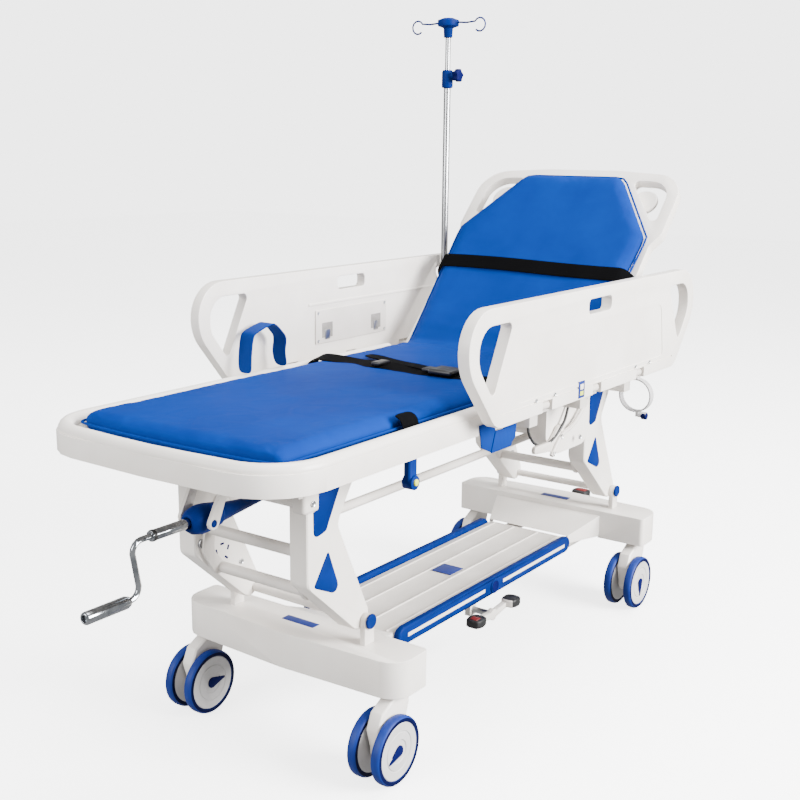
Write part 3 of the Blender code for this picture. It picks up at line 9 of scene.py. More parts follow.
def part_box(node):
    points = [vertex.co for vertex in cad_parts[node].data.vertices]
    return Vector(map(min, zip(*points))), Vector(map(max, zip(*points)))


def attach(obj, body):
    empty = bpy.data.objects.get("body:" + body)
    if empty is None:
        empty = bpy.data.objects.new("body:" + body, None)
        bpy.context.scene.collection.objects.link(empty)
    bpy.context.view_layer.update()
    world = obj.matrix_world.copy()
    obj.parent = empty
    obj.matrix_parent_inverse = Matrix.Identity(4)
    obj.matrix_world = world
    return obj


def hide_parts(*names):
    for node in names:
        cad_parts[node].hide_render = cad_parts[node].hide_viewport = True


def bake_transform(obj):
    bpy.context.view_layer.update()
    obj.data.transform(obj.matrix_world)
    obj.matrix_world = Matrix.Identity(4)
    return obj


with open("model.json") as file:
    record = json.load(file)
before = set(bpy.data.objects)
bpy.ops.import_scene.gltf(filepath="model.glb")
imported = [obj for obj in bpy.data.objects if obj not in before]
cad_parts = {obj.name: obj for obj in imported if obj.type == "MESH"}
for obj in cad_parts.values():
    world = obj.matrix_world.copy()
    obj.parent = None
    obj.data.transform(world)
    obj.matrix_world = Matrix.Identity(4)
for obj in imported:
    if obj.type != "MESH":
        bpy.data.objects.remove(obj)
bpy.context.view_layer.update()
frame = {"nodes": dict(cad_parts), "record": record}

# ------------------------------------------------------------------ places taken from the frame
record = frame["record"]
JOINTS = {joint["name"]: joint for joint in record["behaviour"]["joints"]}
BODY_OF = {node: body for body, nodes in record["behaviour"]["bodies"].items() for node in nodes}
ENDS = ("foot_right", "foot_left", "head_right", "head_left")
SIDES = ((-1, "right"), (1, "left"))
SWIVELS = [Vector(JOINTS["caster_swivel_" + end]["pos_m"]) for end in ENDS]
MIDDLE = sum(SWIVELS, Vector()) / 4          # under the middle of the wheelbase
MIDDLE.z = 0.0
AXLE = abs(SWIVELS[2].x - MIDDLE.x)
HINGE = Vector(JOINTS["backrest_tilt"]["pos_m"])
TILT = math.radians(-JOINTS["backrest_tilt"]["range_deg"][0])
ALONG_BACK = Vector((math.cos(TILT), 0.0, math.sin(TILT)))
OFF_BACK = Vector((-math.sin(TILT), 0.0, math.cos(TILT)))


def at(x, y, z):
    """A place counted from under the middle of the wheelbase."""
    return Vector((MIDDLE.x + x, MIDDLE.y + y, z))


def outer_face(node, side):
    """How far out a node reaches on its side of the bed."""
    low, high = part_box(node)
    return low.y if side < 0 else high.y


def on_back(along, y, off):
    """A place on the backrest: along it from the hinge, across, and off its upper face."""
    return Vector((HINGE.x, MIDDLE.y + y, HINGE.z)) + ALONG_BACK * along + OFF_BACK * off


# ------------------------------------------------------------------ materials
def srgb(code):
    """A hex colour as linear light with alpha."""
    parts = [int(code[i:i + 2], 16) / 255 for i in (1, 3, 5)]
    return [p / 12.92 if p < 0.04045 else ((p + 0.055) / 1.055) ** 2.4 for p in parts] + [1.0]


def add(tree, kind, settings=None, links=None):
    """A node with its settings and links."""
    node = tree.nodes.new(kind)
    for key, value in (settings or {}).items():
        if key in node.inputs:
            node.inputs[key].default_value = value
        else:
            setattr(node, key, value)
    for socket, source in (links or {}).items():
        tree.links.new(source, node.inputs[socket])
    return node


def new_material(name, shader):
    """A material whose shader has these fixed values."""
    made = bpy.data.materials.new(name)
    made.use_nodes = True
    tree = made.node_tree
    bsdf = tree.nodes["Principled BSDF"]
    for key, value in shader.items():
        bsdf.inputs[key].default_value = value
    return made, tree, bsdf


def two_colours(tree, source, colours, low, high):
    """One hex colour turning into another over a pattern, between two of its values."""
    ramp = add(tree, "ShaderNodeValToRGB", links={"Fac": source.outputs["Fac"]})
    for stop, place, code in zip(ramp.color_ramp.elements, (low, high), colours):
        stop.position = place
        stop.color = srgb(code)
    return ramp


def surface(tree, bsdf, colour, gloss, relief):
    """Give the shader its colour, roughness and relief."""
    tree.links.new(colour.outputs["Color"], bsdf.inputs["Base Color"])
    tree.links.new(gloss.outputs["Result"], bsdf.inputs["Roughness"])
    tree.links.new(relief.outputs["Normal"], bsdf.inputs["Normal"])


def colour_and_grain(name, colours, patch, rough, grain, depth, stretch=(1.0, 1.0, 1.0), **shader):
    """Soft colour patches, and a fine surface grain that moves the gloss and the relief.

    patch and grain are sizes in millimetres, and depth is the grain's height in millimetres.
    """
    made, tree, bsdf = new_material(name, {key.replace("_", " "): value for key, value in shader.items()})
    place = add(tree, "ShaderNodeTexCoord")
    scaled = add(tree, "ShaderNodeMapping", {"Scale": stretch}, {"Vector": place.outputs["Object"]})
    patches = add(tree, "ShaderNodeTexNoise", {"Scale": 1000 / patch, "Detail": 3.0},
                  {"Vector": place.outputs["Object"]})
    colour = two_colours(tree, patches, colours, 0.35, 0.65)
    fine = add(tree, "ShaderNodeTexNoise", {"Scale": 1000 / grain, "Detail": 4.0},
               {"Vector": scaled.outputs["Vector"]})
    gloss = add(tree, "ShaderNodeMapRange", {"To Min": rough[0], "To Max": rough[1]},
                {"Value": fine.outputs["Fac"]})
    relief = add(tree, "ShaderNodeBump", {"Strength": 0.5, "Distance": depth / 1000},
                 {"Height": fine.outputs["Fac"]})
    surface(tree, bsdf, colour, gloss, relief)
    return made


def woven(name, colours, thread, rough, depth, crease=0.0, **shader):
    """Two crossed sets of threads; thread is their spacing in millimetres, depth their height."""
    made, tree, bsdf = new_material(name, {key.replace("_", " "): value for key, value in shader.items()})
    place = add(tree, "ShaderNodeTexCoord")
    waves = [add(tree, "ShaderNodeTexWave", {"Scale": 1000 / thread / 6.283, "bands_direction": axis},
                 {"Vector": place.outputs["Object"]}) for axis in ("X", "Y")]
    cloth = add(tree, "ShaderNodeMath", {"operation": "MULTIPLY"})
    tree.links.new(waves[0].outputs["Fac"], cloth.inputs[0])
    tree.links.new(waves[1].outputs["Fac"], cloth.inputs[1])
    patches = add(tree, "ShaderNodeTexNoise", {"Scale": 7.0, "Detail": 4.0},
                  {"Vector": place.outputs["Object"]})
    colour = two_colours(tree, patches, colours, 0.30, 0.70)
    gloss = add(tree, "ShaderNodeMapRange", {"To Min": rough[0], "To Max": rough[1]},
                {"Value": patches.outputs["Fac"]})
    threads = add(tree, "ShaderNodeBump", {"Strength": 0.4, "Distance": depth / 1000},
                  {"Height": cloth.outputs["Value"]})
    folds = add(tree, "ShaderNodeTexNoise", {"Scale": 14.0, "Detail": 2.0, "Distortion": 0.6},
                {"Vector": place.outputs["Object"]})
    relief = add(tree, "ShaderNodeBump", {"Strength": 0.6, "Distance": max(crease, 0.01) / 1000},
                 {"Height": folds.outputs["Fac"], "Normal": threads.outputs["Normal"]})
    surface(tree, bsdf, colour, gloss, relief)
    return made


# Injection moulded ABS: a satin gloss with a faint spark-eroded grain.
WHITE_ABS = colour_and_grain("moulded_white_abs", ("#E1DBD4", "#EAE5DF"), 160, (0.28, 0.38), 1.6, 0.05)
# Powder coat on steel tube: slightly greyer, with an orange-peel surface.
WHITE_COAT = colour_and_grain("powder_coated_steel", ("#CDC7C0", "#D8D2CC"), 120, (0.32, 0.45), 2.5, 0.08)
# The same moulding in through-coloured blue: the dye makes it look duller than the white.
BLUE_ABS = colour_and_grain("moulded_blue_abs", ("#011A56", "#021F63"), 60, (0.45, 0.58), 1.2, 0.04,
                          Specular_IOR_Level=0.06)
NAVY_ABS = colour_and_grain("moulded_navy_abs", ("#02073A", "#040A45"), 50, (0.45, 0.58), 1.2, 0.04,
                          Specular_IOR_Level=0.06)
# Glass-filled nylon: a dry, slightly rough surface.
GREY_ABS = colour_and_grain("moulded_grey_nylon", ("#B4B2B2", "#BFBDBD"), 70, (0.38, 0.50), 1.5, 0.05)
BLACK_ABS = colour_and_grain("moulded_black_nylon", ("#060607", "#0E0E10"), 50, (0.40, 0.55), 1.2, 0.06)
RED_ABS = colour_and_grain("moulded_red_nylon", ("#5E0809", "#6E0C0B"), 40, (0.45, 0.58), 1.2, 0.05)
LIME_ABS = colour_and_grain("moulded_lime_nylon", ("#C3CC3A", "#D3DA4C"), 30, (0.30, 0.42), 1.2, 0.05)
# Polyurethane tread: a dull, rubbery blue with a coarse relief.
TREAD = colour_and_grain("polyurethane_tread", ("#06216A", "#0A2A78"), 30, (0.46, 0.62), 1.4, 0.10,
                         Specular_IOR_Level=0.25)
# The flat sides of the tread are smooth from the mould; their much darker blue is painted shade.
TREAD_SIDE_SHADE = colour_and_grain("polyurethane_side_painted_shade", ("#01042A", "#020634"), 30, (0.45, 0.58), 1.4, 0.05,
                              Specular_IOR_Level=0.06)
# Chrome plate on steel: a near mirror with faint waves.
CHROME = colour_and_grain("chrome_plate", ("#7F8388", "#A6A9AD"), 25, (0.05, 0.16), 3.0, 0.01, Metallic=1.0)
# Brushed stainless tube: the brushing runs round it, so it is drawn finer along the tube.
STAINLESS = colour_and_grain("brushed_stainless", ("#9A9B9D", "#ABACAE"), 80, (0.22, 0.36), 4.0, 0.02,
                             stretch=(1.0, 1.0, 8.0), Metallic=1.0)
# Zinc plate on small screws: a grey, cloudy metal.
ZINC = colour_and_grain("zinc_plated_screw", ("#A9ABAE", "#BFC1C3"), 12, (0.22, 0.38), 1.0, 0.02,
                        Metallic=1.0)
# Coated nylon: the weave just shows through its film, with shallow creases and a soft shine.
COATED = woven("coated_nylon", ("#00266E", "#012D79"), 2.4, (0.66, 0.78), 0.12, crease=2.5,
               Specular_IOR_Level=0.05)
# Doubled nylon webbing: the same blue as the pad, with a plain coarse weave.
SEWN = woven("sewn_blue_webbing", ("#00256A", "#012C76"), 3.0, (0.66, 0.80), 0.35, Specular_IOR_Level=0.08)
# Polyester webbing: ribs drawn at 2.6 mm, a little coarser than real, so that they show.
BELT = woven("black_belt_webbing", ("#010102", "#040405"), 2.6, (0.80, 0.92), 0.40, Specular_IOR_Level=0.04)
# Printed film: smooth, with hardly any relief.
LABEL = colour_and_grain("printed_blue_film", ("#051E68", "#092572"), 30, (0.30, 0.40), 2.0, 0.02)
# The floor of a deep pocket, where little light reaches.
POCKET = colour_and_grain("shaded_pocket", ("#77736F", "#8A8682"), 20, (0.6, 0.8), 2.0, 0.05)


# ------------------------------------------------------------------ modelling helpers
def only(*objects):
    """Select these and nothing else."""
    bpy.ops.object.select_all(action="DESELECT")
    for thing in objects:
        thing.select_set(True)
    bpy.context.view_layer.objects.active = objects[-1]


def applied(piece, kind, **settings):
    """Add a modifier and apply it."""
    only(piece)
    modifier = piece.modifiers.new(kind.lower(), kind)
    for key, value in settings.items():
        setattr(modifier, key, value)
    bpy.ops.object.modifier_apply(modifier=modifier.name)
    return piece


def linked(name, data):
    """An object for this data, in the scene."""
    piece = bpy.data.objects.new(name, data)
    bpy.context.collection.objects.link(piece)
    return piece


def edited(piece, *steps):
    """Run mesh operators, each on all of a piece."""
    only(piece)
    bpy.ops.object.mode_set(mode="EDIT")
    for operator, settings in steps:
        bpy.ops.mesh.select_all(action="SELECT")
        operator(**settings)
    bpy.ops.object.mode_set(mode="OBJECT")
    return piece


def outward(piece):
    """Turn every face outwards."""
    return edited(piece, (bpy.ops.mesh.normals_make_consistent, {"inside": False}))


def eased(piece, width, segments=3, angle=33.0):
    """Round the edges that are sharper than the angle."""
    return applied(piece, "BEVEL", width=width, segments=segments, limit_method="ANGLE",
                   angle_limit=math.radians(angle), use_clamp_overlap=True)


def finished(piece, name, material, body, replaced=(), angle=35.0):
    """Name, shade and colour a piece, settle its place and let it ride on its body."""
    only(piece)
    bpy.ops.object.transform_apply(location=True, rotation=True, scale=True)
    bpy.ops.object.shade_smooth_by_angle(angle=math.radians(angle))
    piece.name = name
    piece.data.materials.clear()
    piece.data.materials.append(material)
    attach(piece, body)
    if replaced:
        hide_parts(*replaced)
    return piece


def plain_block(low, high):
    """A sharp block between two corners, to be eased or cut with."""
    low, high = Vector(low), Vector(high)
    bpy.ops.object.select_all(action="DESELECT")
    bpy.ops.mesh.primitive_cube_add(size=1.0, location=(low + high) / 2)
    piece = bpy.context.active_object
    piece.scale = high - low
    bpy.ops.object.transform_apply(location=True, rotation=True, scale=True)
    return piece


def block(low, high, edge, segments=3):
    """A rounded block between two corners."""
    return eased(plain_block(low, high), edge, segments)


def drum(centre, axis, radius, depth, edge, sides=32, top=0.0):
    """A round piece with eased rims, and a recess in its outer end where top is given."""
    bpy.ops.object.select_all(action="DESELECT")
    turn = Vector(axis).to_track_quat("Z", "Y").to_euler()
    bpy.ops.mesh.primitive_cylinder_add(vertices=sides, radius=radius, depth=depth, location=centre,
                                        rotation=turn)
    piece = bpy.context.active_object
    bpy.ops.object.transform_apply(location=True, rotation=True, scale=True)
    if top:
        bpy.ops.object.mode_set(mode="EDIT")
        mesh = bmesh.from_edit_mesh(piece.data)
        out = Vector(axis).normalized()
        for face in mesh.faces:
            face.select_set(face.normal.dot(out) > 0.9)
        bmesh.update_edit_mesh(piece.data)
        bpy.ops.mesh.inset(thickness=radius * 0.3)
        bpy.ops.transform.translate(value=-out * top)
        bpy.ops.object.mode_set(mode="OBJECT")
    return eased(piece, edge)


def screw(place, axis, radius):
    """A domed screw head with a socket."""
    return drum(place, axis, radius, radius * 0.8, radius * 0.25, 20, top=radius * 0.3)


def screws(name, body, axis, places):
    """Screw heads as one piece, from their (x, y, z, radius)."""
    heads = [screw(Vector(place[:3]), axis, place[3]) for place in places]
    finished(joined(*heads), name, ZINC, body)


def sweep(points, radius, name="tube", closed=False, smooth=True, resolution=4):
    """A round tube through the points."""
    curve = bpy.data.curves.new(name, "CURVE")
    curve.dimensions = "3D"
    curve.bevel_depth = radius
    curve.bevel_resolution = resolution
    curve.use_fill_caps = not closed
    curve.resolution_u = 5
    spline = curve.splines.new("BEZIER" if smooth else "POLY")
    if smooth:
        spline.bezier_points.add(len(points) - 1)
        for knot, point in zip(spline.bezier_points, points):
            knot.co = point
            knot.handle_left_type = knot.handle_right_type = "AUTO"
    else:
        spline.points.add(len(points) - 1)
        for knot, point in zip(spline.points, points):
            knot.co = (*point, 1.0)
    spline.use_cyclic_u = closed
    only(linked(name, curve))
    bpy.ops.object.convert(target="MESH")
    return bpy.context.active_object


def sheet_metal(corners, thickness, edge, segments=2):
    """A flat plate from its corners, made thick along its normal on both sides."""
    mesh = bpy.data.meshes.new("plate")
    mesh.from_pydata([tuple(corner) for corner in corners], [], [tuple(range(len(corners)))])
    piece = applied(linked("plate", mesh), "SOLIDIFY", thickness=thickness, offset=0.0)
    return eased(outward(piece), edge, segments)


def joined(*pieces):
    """Several pieces made one."""
    only(*pieces)
    bpy.ops.object.join()
    return bpy.context.active_object


def moulded_copy(node):
    """A merged copy of a node's shape."""
    cad = frame["nodes"][node]
    mesh = cad.data.copy()
    mesh.transform(cad.matrix_world)
    return edited(linked(node + "_skin", mesh), (bpy.ops.mesh.remove_doubles, {"threshold": 0.00002}),
                  (bpy.ops.mesh.dissolve_limited, {"angle_limit": math.radians(0.6)}))


def moulded(node, material, edge, segments=3, angle=33.0):
    """The node's own shape with its edges eased, in place of the node."""
    piece = moulded_copy(node)
    eased(piece, edge, segments, angle)
    return finished(piece, node + "_skin", material, BODY_OF[node], (node,), angle=angle + 3)


# ------------------------------------------------------------------ the pad
PAD_LOW, PAD_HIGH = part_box("seat_mattress")
PAD_THICK = PAD_HIGH.z - PAD_LOW.z
PAD_MIDDLE = PAD_LOW.z + PAD_THICK / 2 - HINGE.z       # the pad's middle layer over the hinge line
BEND_RADIUS = 0.060
BEND_REACH = PAD_MIDDLE * math.tan(TILT / 2) + BEND_RADIUS * math.tan(TILT / 2)
BEND_START = HINGE.x - BEND_REACH
BEND_LENGTH = BEND_RADIUS * TILT
PAD_HALF = PAD_HIGH.y - MIDDLE.y
HEAD_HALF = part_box("back_mattress")[1].y - MIDDLE.y
SHOULDER_PLACE = 0.44        # along the backrest, where the pad starts to narrow
BACK_PAD_END = 0.662
EDGE_DRAW = 0.004            # the pad is drawn in by this much, because it swells
EDGE_ROUND = 0.022           # how far in from its seam the pad reaches its full thickness
PAD_GRID = (150, 44)         # rows along the blank, columns across it
VOXEL = 0.006
AIR_PRESSURE = 4.0
AIR_FRAMES = 20
SWELL_LIMIT = 0.006


def unrolled(along):
    """A length along the backrest as a place on the unrolled pad's length."""
    return BEND_START + BEND_LENGTH + along - BEND_REACH


def rolled(point):
    """A point of the unrolled pad, off = its z over the hinge line, moved to its place on the bent one."""
    x, y, off = point
    off -= PAD_MIDDLE
    if x <= BEND_START:
        return Vector((x, y, HINGE.z + PAD_MIDDLE + off))
    if x >= BEND_START + BEND_LENGTH:
        along = x - BEND_START - BEND_LENGTH + BEND_REACH
        return Vector((HINGE.x, y, HINGE.z)) + ALONG_BACK * along + OFF_BACK * (PAD_MIDDLE + off)
    turn = (x - BEND_START) / BEND_RADIUS
    radius = BEND_RADIUS - off
    centre_z = HINGE.z + PAD_MIDDLE + BEND_RADIUS
    return Vector((BEND_START + radius * math.sin(turn), y, centre_z - radius * math.cos(turn)))


def roll_up(piece):
    """Bend a flat-modelled piece to the pad's shape."""
    for vertex in piece.data.vertices:
        vertex.co = rolled(vertex.co)
    piece.data.update()


def pad_outline(inset):
    """The unrolled pad's outline, drawn in by an inset: a bowed foot end and a cut-cornered head."""
    foot = PAD_LOW.x + inset
    shoulder, top = unrolled(SHOULDER_PLACE), unrolled(BACK_PAD_END) - inset
    half, wide, tip = PAD_HALF - inset, HEAD_HALF - inset, 0.150 - inset * 0.4
    corner, bow = 0.020, 0.014
    side = [(foot, 0.0), (foot + 0.002, half * 0.45), (foot + bow * 0.6, half * 0.8)]
    side += [(foot + bow + corner * (1 - math.cos(turn)), half - corner * (1 - math.sin(turn)))
             for turn in (math.radians(a) for a in (10, 35, 60, 90))]
    side += [(unrolled(0.03), half), (shoulder - 0.02, wide - 0.002), (shoulder + 0.010, wide - 0.003)]
    side += [(top - 0.020, tip + 0.020), (top - 0.004, tip + 0.004), (top, tip - 0.020)]
    return side


def half_width(x, outline):
    """The outline's half width at a place along it."""
    for (xa, ya), (xb, yb) in zip(outline, outline[1:]):
        if xa <= x <= xb:
            return ya + (yb - ya) * (x - xa) / max(xb - xa, 1e-6)
    return outline[-1][1]


def pad_blank():
    """The flat pad before it is filled: one closed form, thin at its seam and full in its middle."""
    outline = pad_outline(EDGE_DRAW)
    rows, columns = PAD_GRID
    mesh = bmesh.new()
    layers = {1: [], -1: []}
    start, stop = outline[0][0], outline[-1][0]
    for i in range(rows + 1):
        x = start + (stop - start) * (0.5 - 0.5 * math.cos(math.pi * i / rows)) ** 0.9
        half = max(half_width(x, outline), 0.02)
        for side in (1, -1):
            row = []
            for j in range(columns + 1):
                across = math.sin((j / columns - 0.5) * math.pi)
                y = half * across
                edge = min(half - abs(y), x - start + 0.0005, stop - x + 0.0005)
                full = min(max(edge / EDGE_ROUND, 0.0), 1.0)
                rise = PAD_THICK / 2 * (0.08 + 0.90 * math.sqrt(1 - (1 - full) ** 2))
                row.append(mesh.verts.new((x, MIDDLE.y + y, PAD_MIDDLE + side * rise)))
            layers[side].append(row)
    for side in (1, -1):
        grid = layers[side]
        for i in range(rows):
            for j in range(columns):
                ring = (grid[i][j], grid[i + 1][j], grid[i + 1][j + 1], grid[i][j + 1])
                mesh.faces.new(ring if side == 1 else ring[::-1])
    top, low = layers[1], layers[-1]
    rim_top = top[0] + [row[-1] for row in top[1:]] + top[-1][-2::-1] + [row[0] for row in top[-2:0:-1]]
    rim_low = low[0] + [row[-1] for row in low[1:]] + low[-1][-2::-1] + [row[0] for row in low[-2:0:-1]]
    for k, corner in enumerate(rim_top):
        after = (k + 1) % len(rim_top)
        mesh.faces.new((corner, rim_top[after], rim_low[after], rim_low[k]))
    bmesh.ops.recalc_face_normals(mesh, faces=mesh.faces)
    data = bpy.data.meshes.new("pad")
    mesh.to_mesh(data)
    mesh.free()
    return linked("pad", data)


def fill_with_air(piece):
    """Fill the pad by cloth simulation, holding how far each point may move."""
    applied(piece, "REMESH", mode="VOXEL", voxel_size=VOXEL)
    before = [vertex.co.copy() for vertex in piece.data.vertices]
    only(piece)
    cloth = piece.modifiers.new("filling", "CLOTH")
    cloth.settings.use_pressure = True
    cloth.settings.uniform_pressure_force = AIR_PRESSURE
    cloth.settings.effector_weights.gravity = 0.0
    cloth.settings.quality = 3
    cloth.settings.tension_stiffness = 12.0
    for number in range(1, AIR_FRAMES + 1):
        bpy.context.scene.frame_set(number)
    bpy.ops.object.modifier_apply(modifier="filling")
    bpy.context.scene.frame_set(1)
    for vertex, start in zip(piece.data.vertices, before):
        move = vertex.co - start
        vertex.co = start + move * min(1.0, SWELL_LIMIT / max(move.length, 1e-9))


def creases(piece):
    """Shallow creases: gathered at the seam and across the hip, and long soft ones over the rest."""
    outline = pad_outline(0.0)
    floor = PAD_MIDDLE - PAD_THICK / 2 + 0.0004
    for vertex in piece.data.vertices:
        x, y, off = vertex.co
        side = 1 if off > PAD_MIDDLE else -1
        half = half_width(x, outline)
        edge = max(min(half - abs(y - MIDDLE.y), x - outline[0][0], outline[-1][0] - x), 0.0)
        gather = math.exp(-edge / 0.030) * noise.noise(Vector((x * 34, y * 34, side))) * 0.0030
        hip = math.exp(-((x - HINGE.x) / 0.10) ** 2)
        fold = hip * noise.noise(Vector((x * 30, y * 3.2, 7.0))) * 0.0040
        soft = noise.noise(Vector((x * 5.0, y * 7.0, 3.0))) * 0.0020
        vertex.co.z = max(off + side * (gather + fold + soft * min(edge / 0.03, 1.0)), floor)


def pad():
    """The whole pad, one piece over the hip, with its piped seam."""
    piece = pad_blank()
    fill_with_air(piece)
    creases(piece)
    roll_up(piece)
    only(piece)
    bpy.ops.object.shade_smooth()
    piece.name = "pad"
    piece.data.materials.append(COATED)
    outline = pad_outline(0.0030)
    ring = [(x, MIDDLE.y + y, PAD_MIDDLE) for x, y in outline]
    ring += [(x, MIDDLE.y - y, PAD_MIDDLE) for x, y in outline[:0:-1]]
    dense = []
    for start, end in zip(ring, ring[1:] + ring[:1]):
        count = max(1, round((Vector(end) - Vector(start)).length / 0.012))
        dense += [Vector(start).lerp(Vector(end), k / count) for k in range(count)]
    piping = sweep(dense, 0.0028, closed=True, smooth=False, resolution=2)
    roll_up(piping)
    only(piping)
    bpy.ops.object.shade_smooth()
    piping.name = "pad_piping"
    piping.data.materials.clear()
    piping.data.materials.append(COATED)
    start = (BEND_START, MIDDLE.y, HINGE.z)
    end = tuple(rolled((BEND_START + BEND_LENGTH, MIDDLE.y, PAD_MIDDLE)))
    for part in (piece, piping):
        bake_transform(part)
    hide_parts("seat_mattress", "back_mattress")


# ------------------------------------------------------------------ straps
BELT_WIDTH = 0.045
BELT_THICK = 0.0020
CHEST_PLACE = 0.300          # the chest strap, along the backrest
CHEST_REACH = 0.312          # half its width, round the panel's edges
LAP_PLACE = -0.205           # the thigh strap, from the middle of the wheelbase
SPARE_PLACE = -0.590         # the spare strap end, by the pad's foot
STRAP_FOOT = 0.724           # how high the thigh strap goes into the deck's edge


def on_pad(x, y, off):
    """A place over the flat part of the pad."""
    return at(x, y, PAD_HIGH.z + off)


def belt(name, route, across, material, body, width=BELT_WIDTH, thick=BELT_THICK):
    """Webbing along a route; across is the direction of its width."""
    route = [Vector(point) for point in route]
    wide = Vector(across).normalized() * width / 2
    mesh = bpy.data.meshes.new(name)
    points = [tuple(point + wide * side) for point in route for side in (-1, 0, 1)]
    faces = []
    for i in range(len(route) - 1):
        a = 3 * i
        faces += [(a, a + 3, a + 4, a + 1), (a + 1, a + 4, a + 5, a + 2)]
    mesh.from_pydata(points, [], faces)
    piece = outward(linked(name, mesh))
    applied(piece, "SUBSURF", levels=2, render_levels=2)
    applied(piece, "SOLIDIFY", thickness=thick, offset=0.0)
    eased(piece, thick * 0.3, 2)
    return finished(piece, name, material, body)


def straps():
    """The chest and thigh straps with their buckle and loose tail."""
    off = PAD_THICK + 0.0070
    route = [on_back(CHEST_PLACE, -CHEST_REACH, -0.020)]
    route += [on_back(CHEST_PLACE + 0.004 * math.sin(y * 9), y, off + 0.0035 * math.cos(y * 5))
              for y in (-0.290, -0.262, -0.200, -0.100, 0.000, 0.100, 0.200, 0.262, 0.290)]
    route += [on_back(CHEST_PLACE, CHEST_REACH, -0.020)]
    belt("chest_strap", route, ALONG_BACK, BELT, "backrest")
    lap = [on_pad(LAP_PLACE + 0.006 * math.sin(2.1 * k), -0.284 + 0.568 * k / 12,
                  0.009 + 0.003 * math.cos(1.7 * k)) for k in range(13)]
    lap = [at(LAP_PLACE, -0.300, STRAP_FOOT)] + lap + [at(LAP_PLACE, 0.300, STRAP_FOOT)]
    belt("thigh_strap", lap, (1, 0, 0.18), BELT, "deck", width=0.050)
    over = [on_pad(-0.130 - 0.075 * k / 6, 0.170 - 0.290 * k / 6, 0.013 + 0.0015 * math.sin(2 * k))
            for k in range(7)]
    belt("thigh_strap_tail", over, (1.0, -0.25, 0.1), BELT, "deck", width=0.030)
    parts = [block(on_pad(*low), on_pad(*high), edge) for low, high, edge in
             (((-0.235, -0.150, 0.012), (-0.175, -0.085, 0.024), 0.005),
              ((-0.222, -0.085, 0.013), (-0.188, -0.060, 0.021), 0.003),
              ((-0.228, 0.060, 0.012), (-0.182, 0.085, 0.020), 0.003))]
    finished(joined(*parts), "thigh_strap_buckle", BLACK_ABS, "deck")
    loose = [on_pad(SPARE_PLACE, -0.262, 0.006), on_pad(SPARE_PLACE, -0.282, 0.003),
             at(SPARE_PLACE, -0.289, 0.756), at(SPARE_PLACE - 0.002, -0.290, 0.742),
             at(SPARE_PLACE - 0.004, -0.289, 0.728)]
    belt("spare_strap_end", loose, (1, 0, 0), BELT, "deck", width=0.055)


def grips():
    """The two webbing carry handles: one standing as a bent loop, one hanging folded flat."""
    low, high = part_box("carry_handle_left")
    y = (low.y + high.y) / 2
    loop = [Vector((low.x + x, y + lean, low.z + z)) for x, lean, z in
            ((0.006, 0.0, 0.001), (0.005, 0.0, 0.030), (0.010, 0.001, 0.065), (0.017, 0.002, 0.090),
             (0.025, 0.002, 0.098), (0.060, 0.001, 0.108), (0.084, 0.0, 0.1145), (0.096, 0.0, 0.112),
             (0.124, 0.0, 0.086), (0.133, 0.0, 0.076),
             (0.134, 0.001, 0.060), (0.128, 0.002, 0.036), (0.138, 0.0, 0.001))]
    piece = belt("standing_grip", loop, (0, 1, 0.0), SEWN, "deck", width=0.042, thick=0.0032)
    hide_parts("carry_handle_left")
    low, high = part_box("carry_handle_right")
    near = low.y + 0.0015
    folds = [([(0.000, 0.071), (0.056, 0.071), (0.070, 0.043), (0.050, 0.002), (0.009, 0.020)], 0.0020),
             ([(0.160, 0.071), (0.108, 0.071), (0.100, 0.043), (0.131, 0.001), (0.154, 0.018)], 0.0020),
             ([(0.047, 0.0005), (0.133, 0.0005), (0.146, 0.044), (0.064, 0.048)], 0.0000)]
    pieces = [sheet_metal([(low.x + x, near + back, low.z + z) for x, z in corners], 0.0024, 0.0010)
              for corners, back in folds]
    finished(joined(*pieces), "hanging_grip", SEWN, "deck", ("carry_handle_right",))


# ------------------------------------------------------------------ moulded and metal parts
def moulded_parts():
    """Every node that keeps its own shape, with the edges its making would leave."""
    groups = (
        (WHITE_ABS, 4, {"base_cover_foot": 0.009, "base_cover_head": 0.009, "mechanism_cover": 0.006,
                        "lift_plate_foot_right": 0.004, "lift_plate_foot_left": 0.004,
                        "lift_plate_head_right": 0.004, "lift_plate_head_left": 0.004,
                        **{"caster_hood_" + end: 0.005 for end in ENDS}}),
        (WHITE_COAT, 2, {"storage_tray": 0.0012, "chassis_frame": 0.002, "deck_subframe": 0.002,
                         "lift_frame_foot": 0.002, "lift_frame_head": 0.002, "pivot_shaft_foot": 0.002,
                         "pivot_shaft_head": 0.002, "tie_rod_right": 0.002, "tie_rod_left": 0.002,
                         "crank_yoke": 0.003, "release_lever": 0.001}),
        (BLUE_ABS, 2, {"tray_bumper_right": 0.005, "tray_bumper_left": 0.005, "crank_housing": 0.004,
                       "accessory_clip": 0.003, "iv_clamp_collar": 0.002, "iv_hook_bar": 0.0012}),
        (BLACK_ABS, 2, {"head_brake_pedal": 0.003, "brake_rocker_right": 0.003, "brake_rocker_left": 0.003,
                        "gas_spring_cylinder": 0.001}),
        (NAVY_ABS, 2, {"iv_clamp_knob": 0.0025}),
        (GREY_ABS, 2, {"cylinder_ring": 0.002}),
        (STAINLESS, 2, {"brake_shaft": 0.0008, "iv_pole_lower": 0.0008, "iv_pole_upper": 0.0008,
                        "gas_spring_rod": 0.0008}),
        (CHROME, 2, {"crank_handle": 0.0008, "crank_grip": 0.0015}),
    )
    for material, segments, edges in groups:
        for node, edge in edges.items():
            piece = moulded(node, material, edge, segments)
            if node.startswith("brake_rocker"):
                pale_middle(piece, node)


PAD_REACH = 0.045            # how long a brake pad is, at each end of its rocker


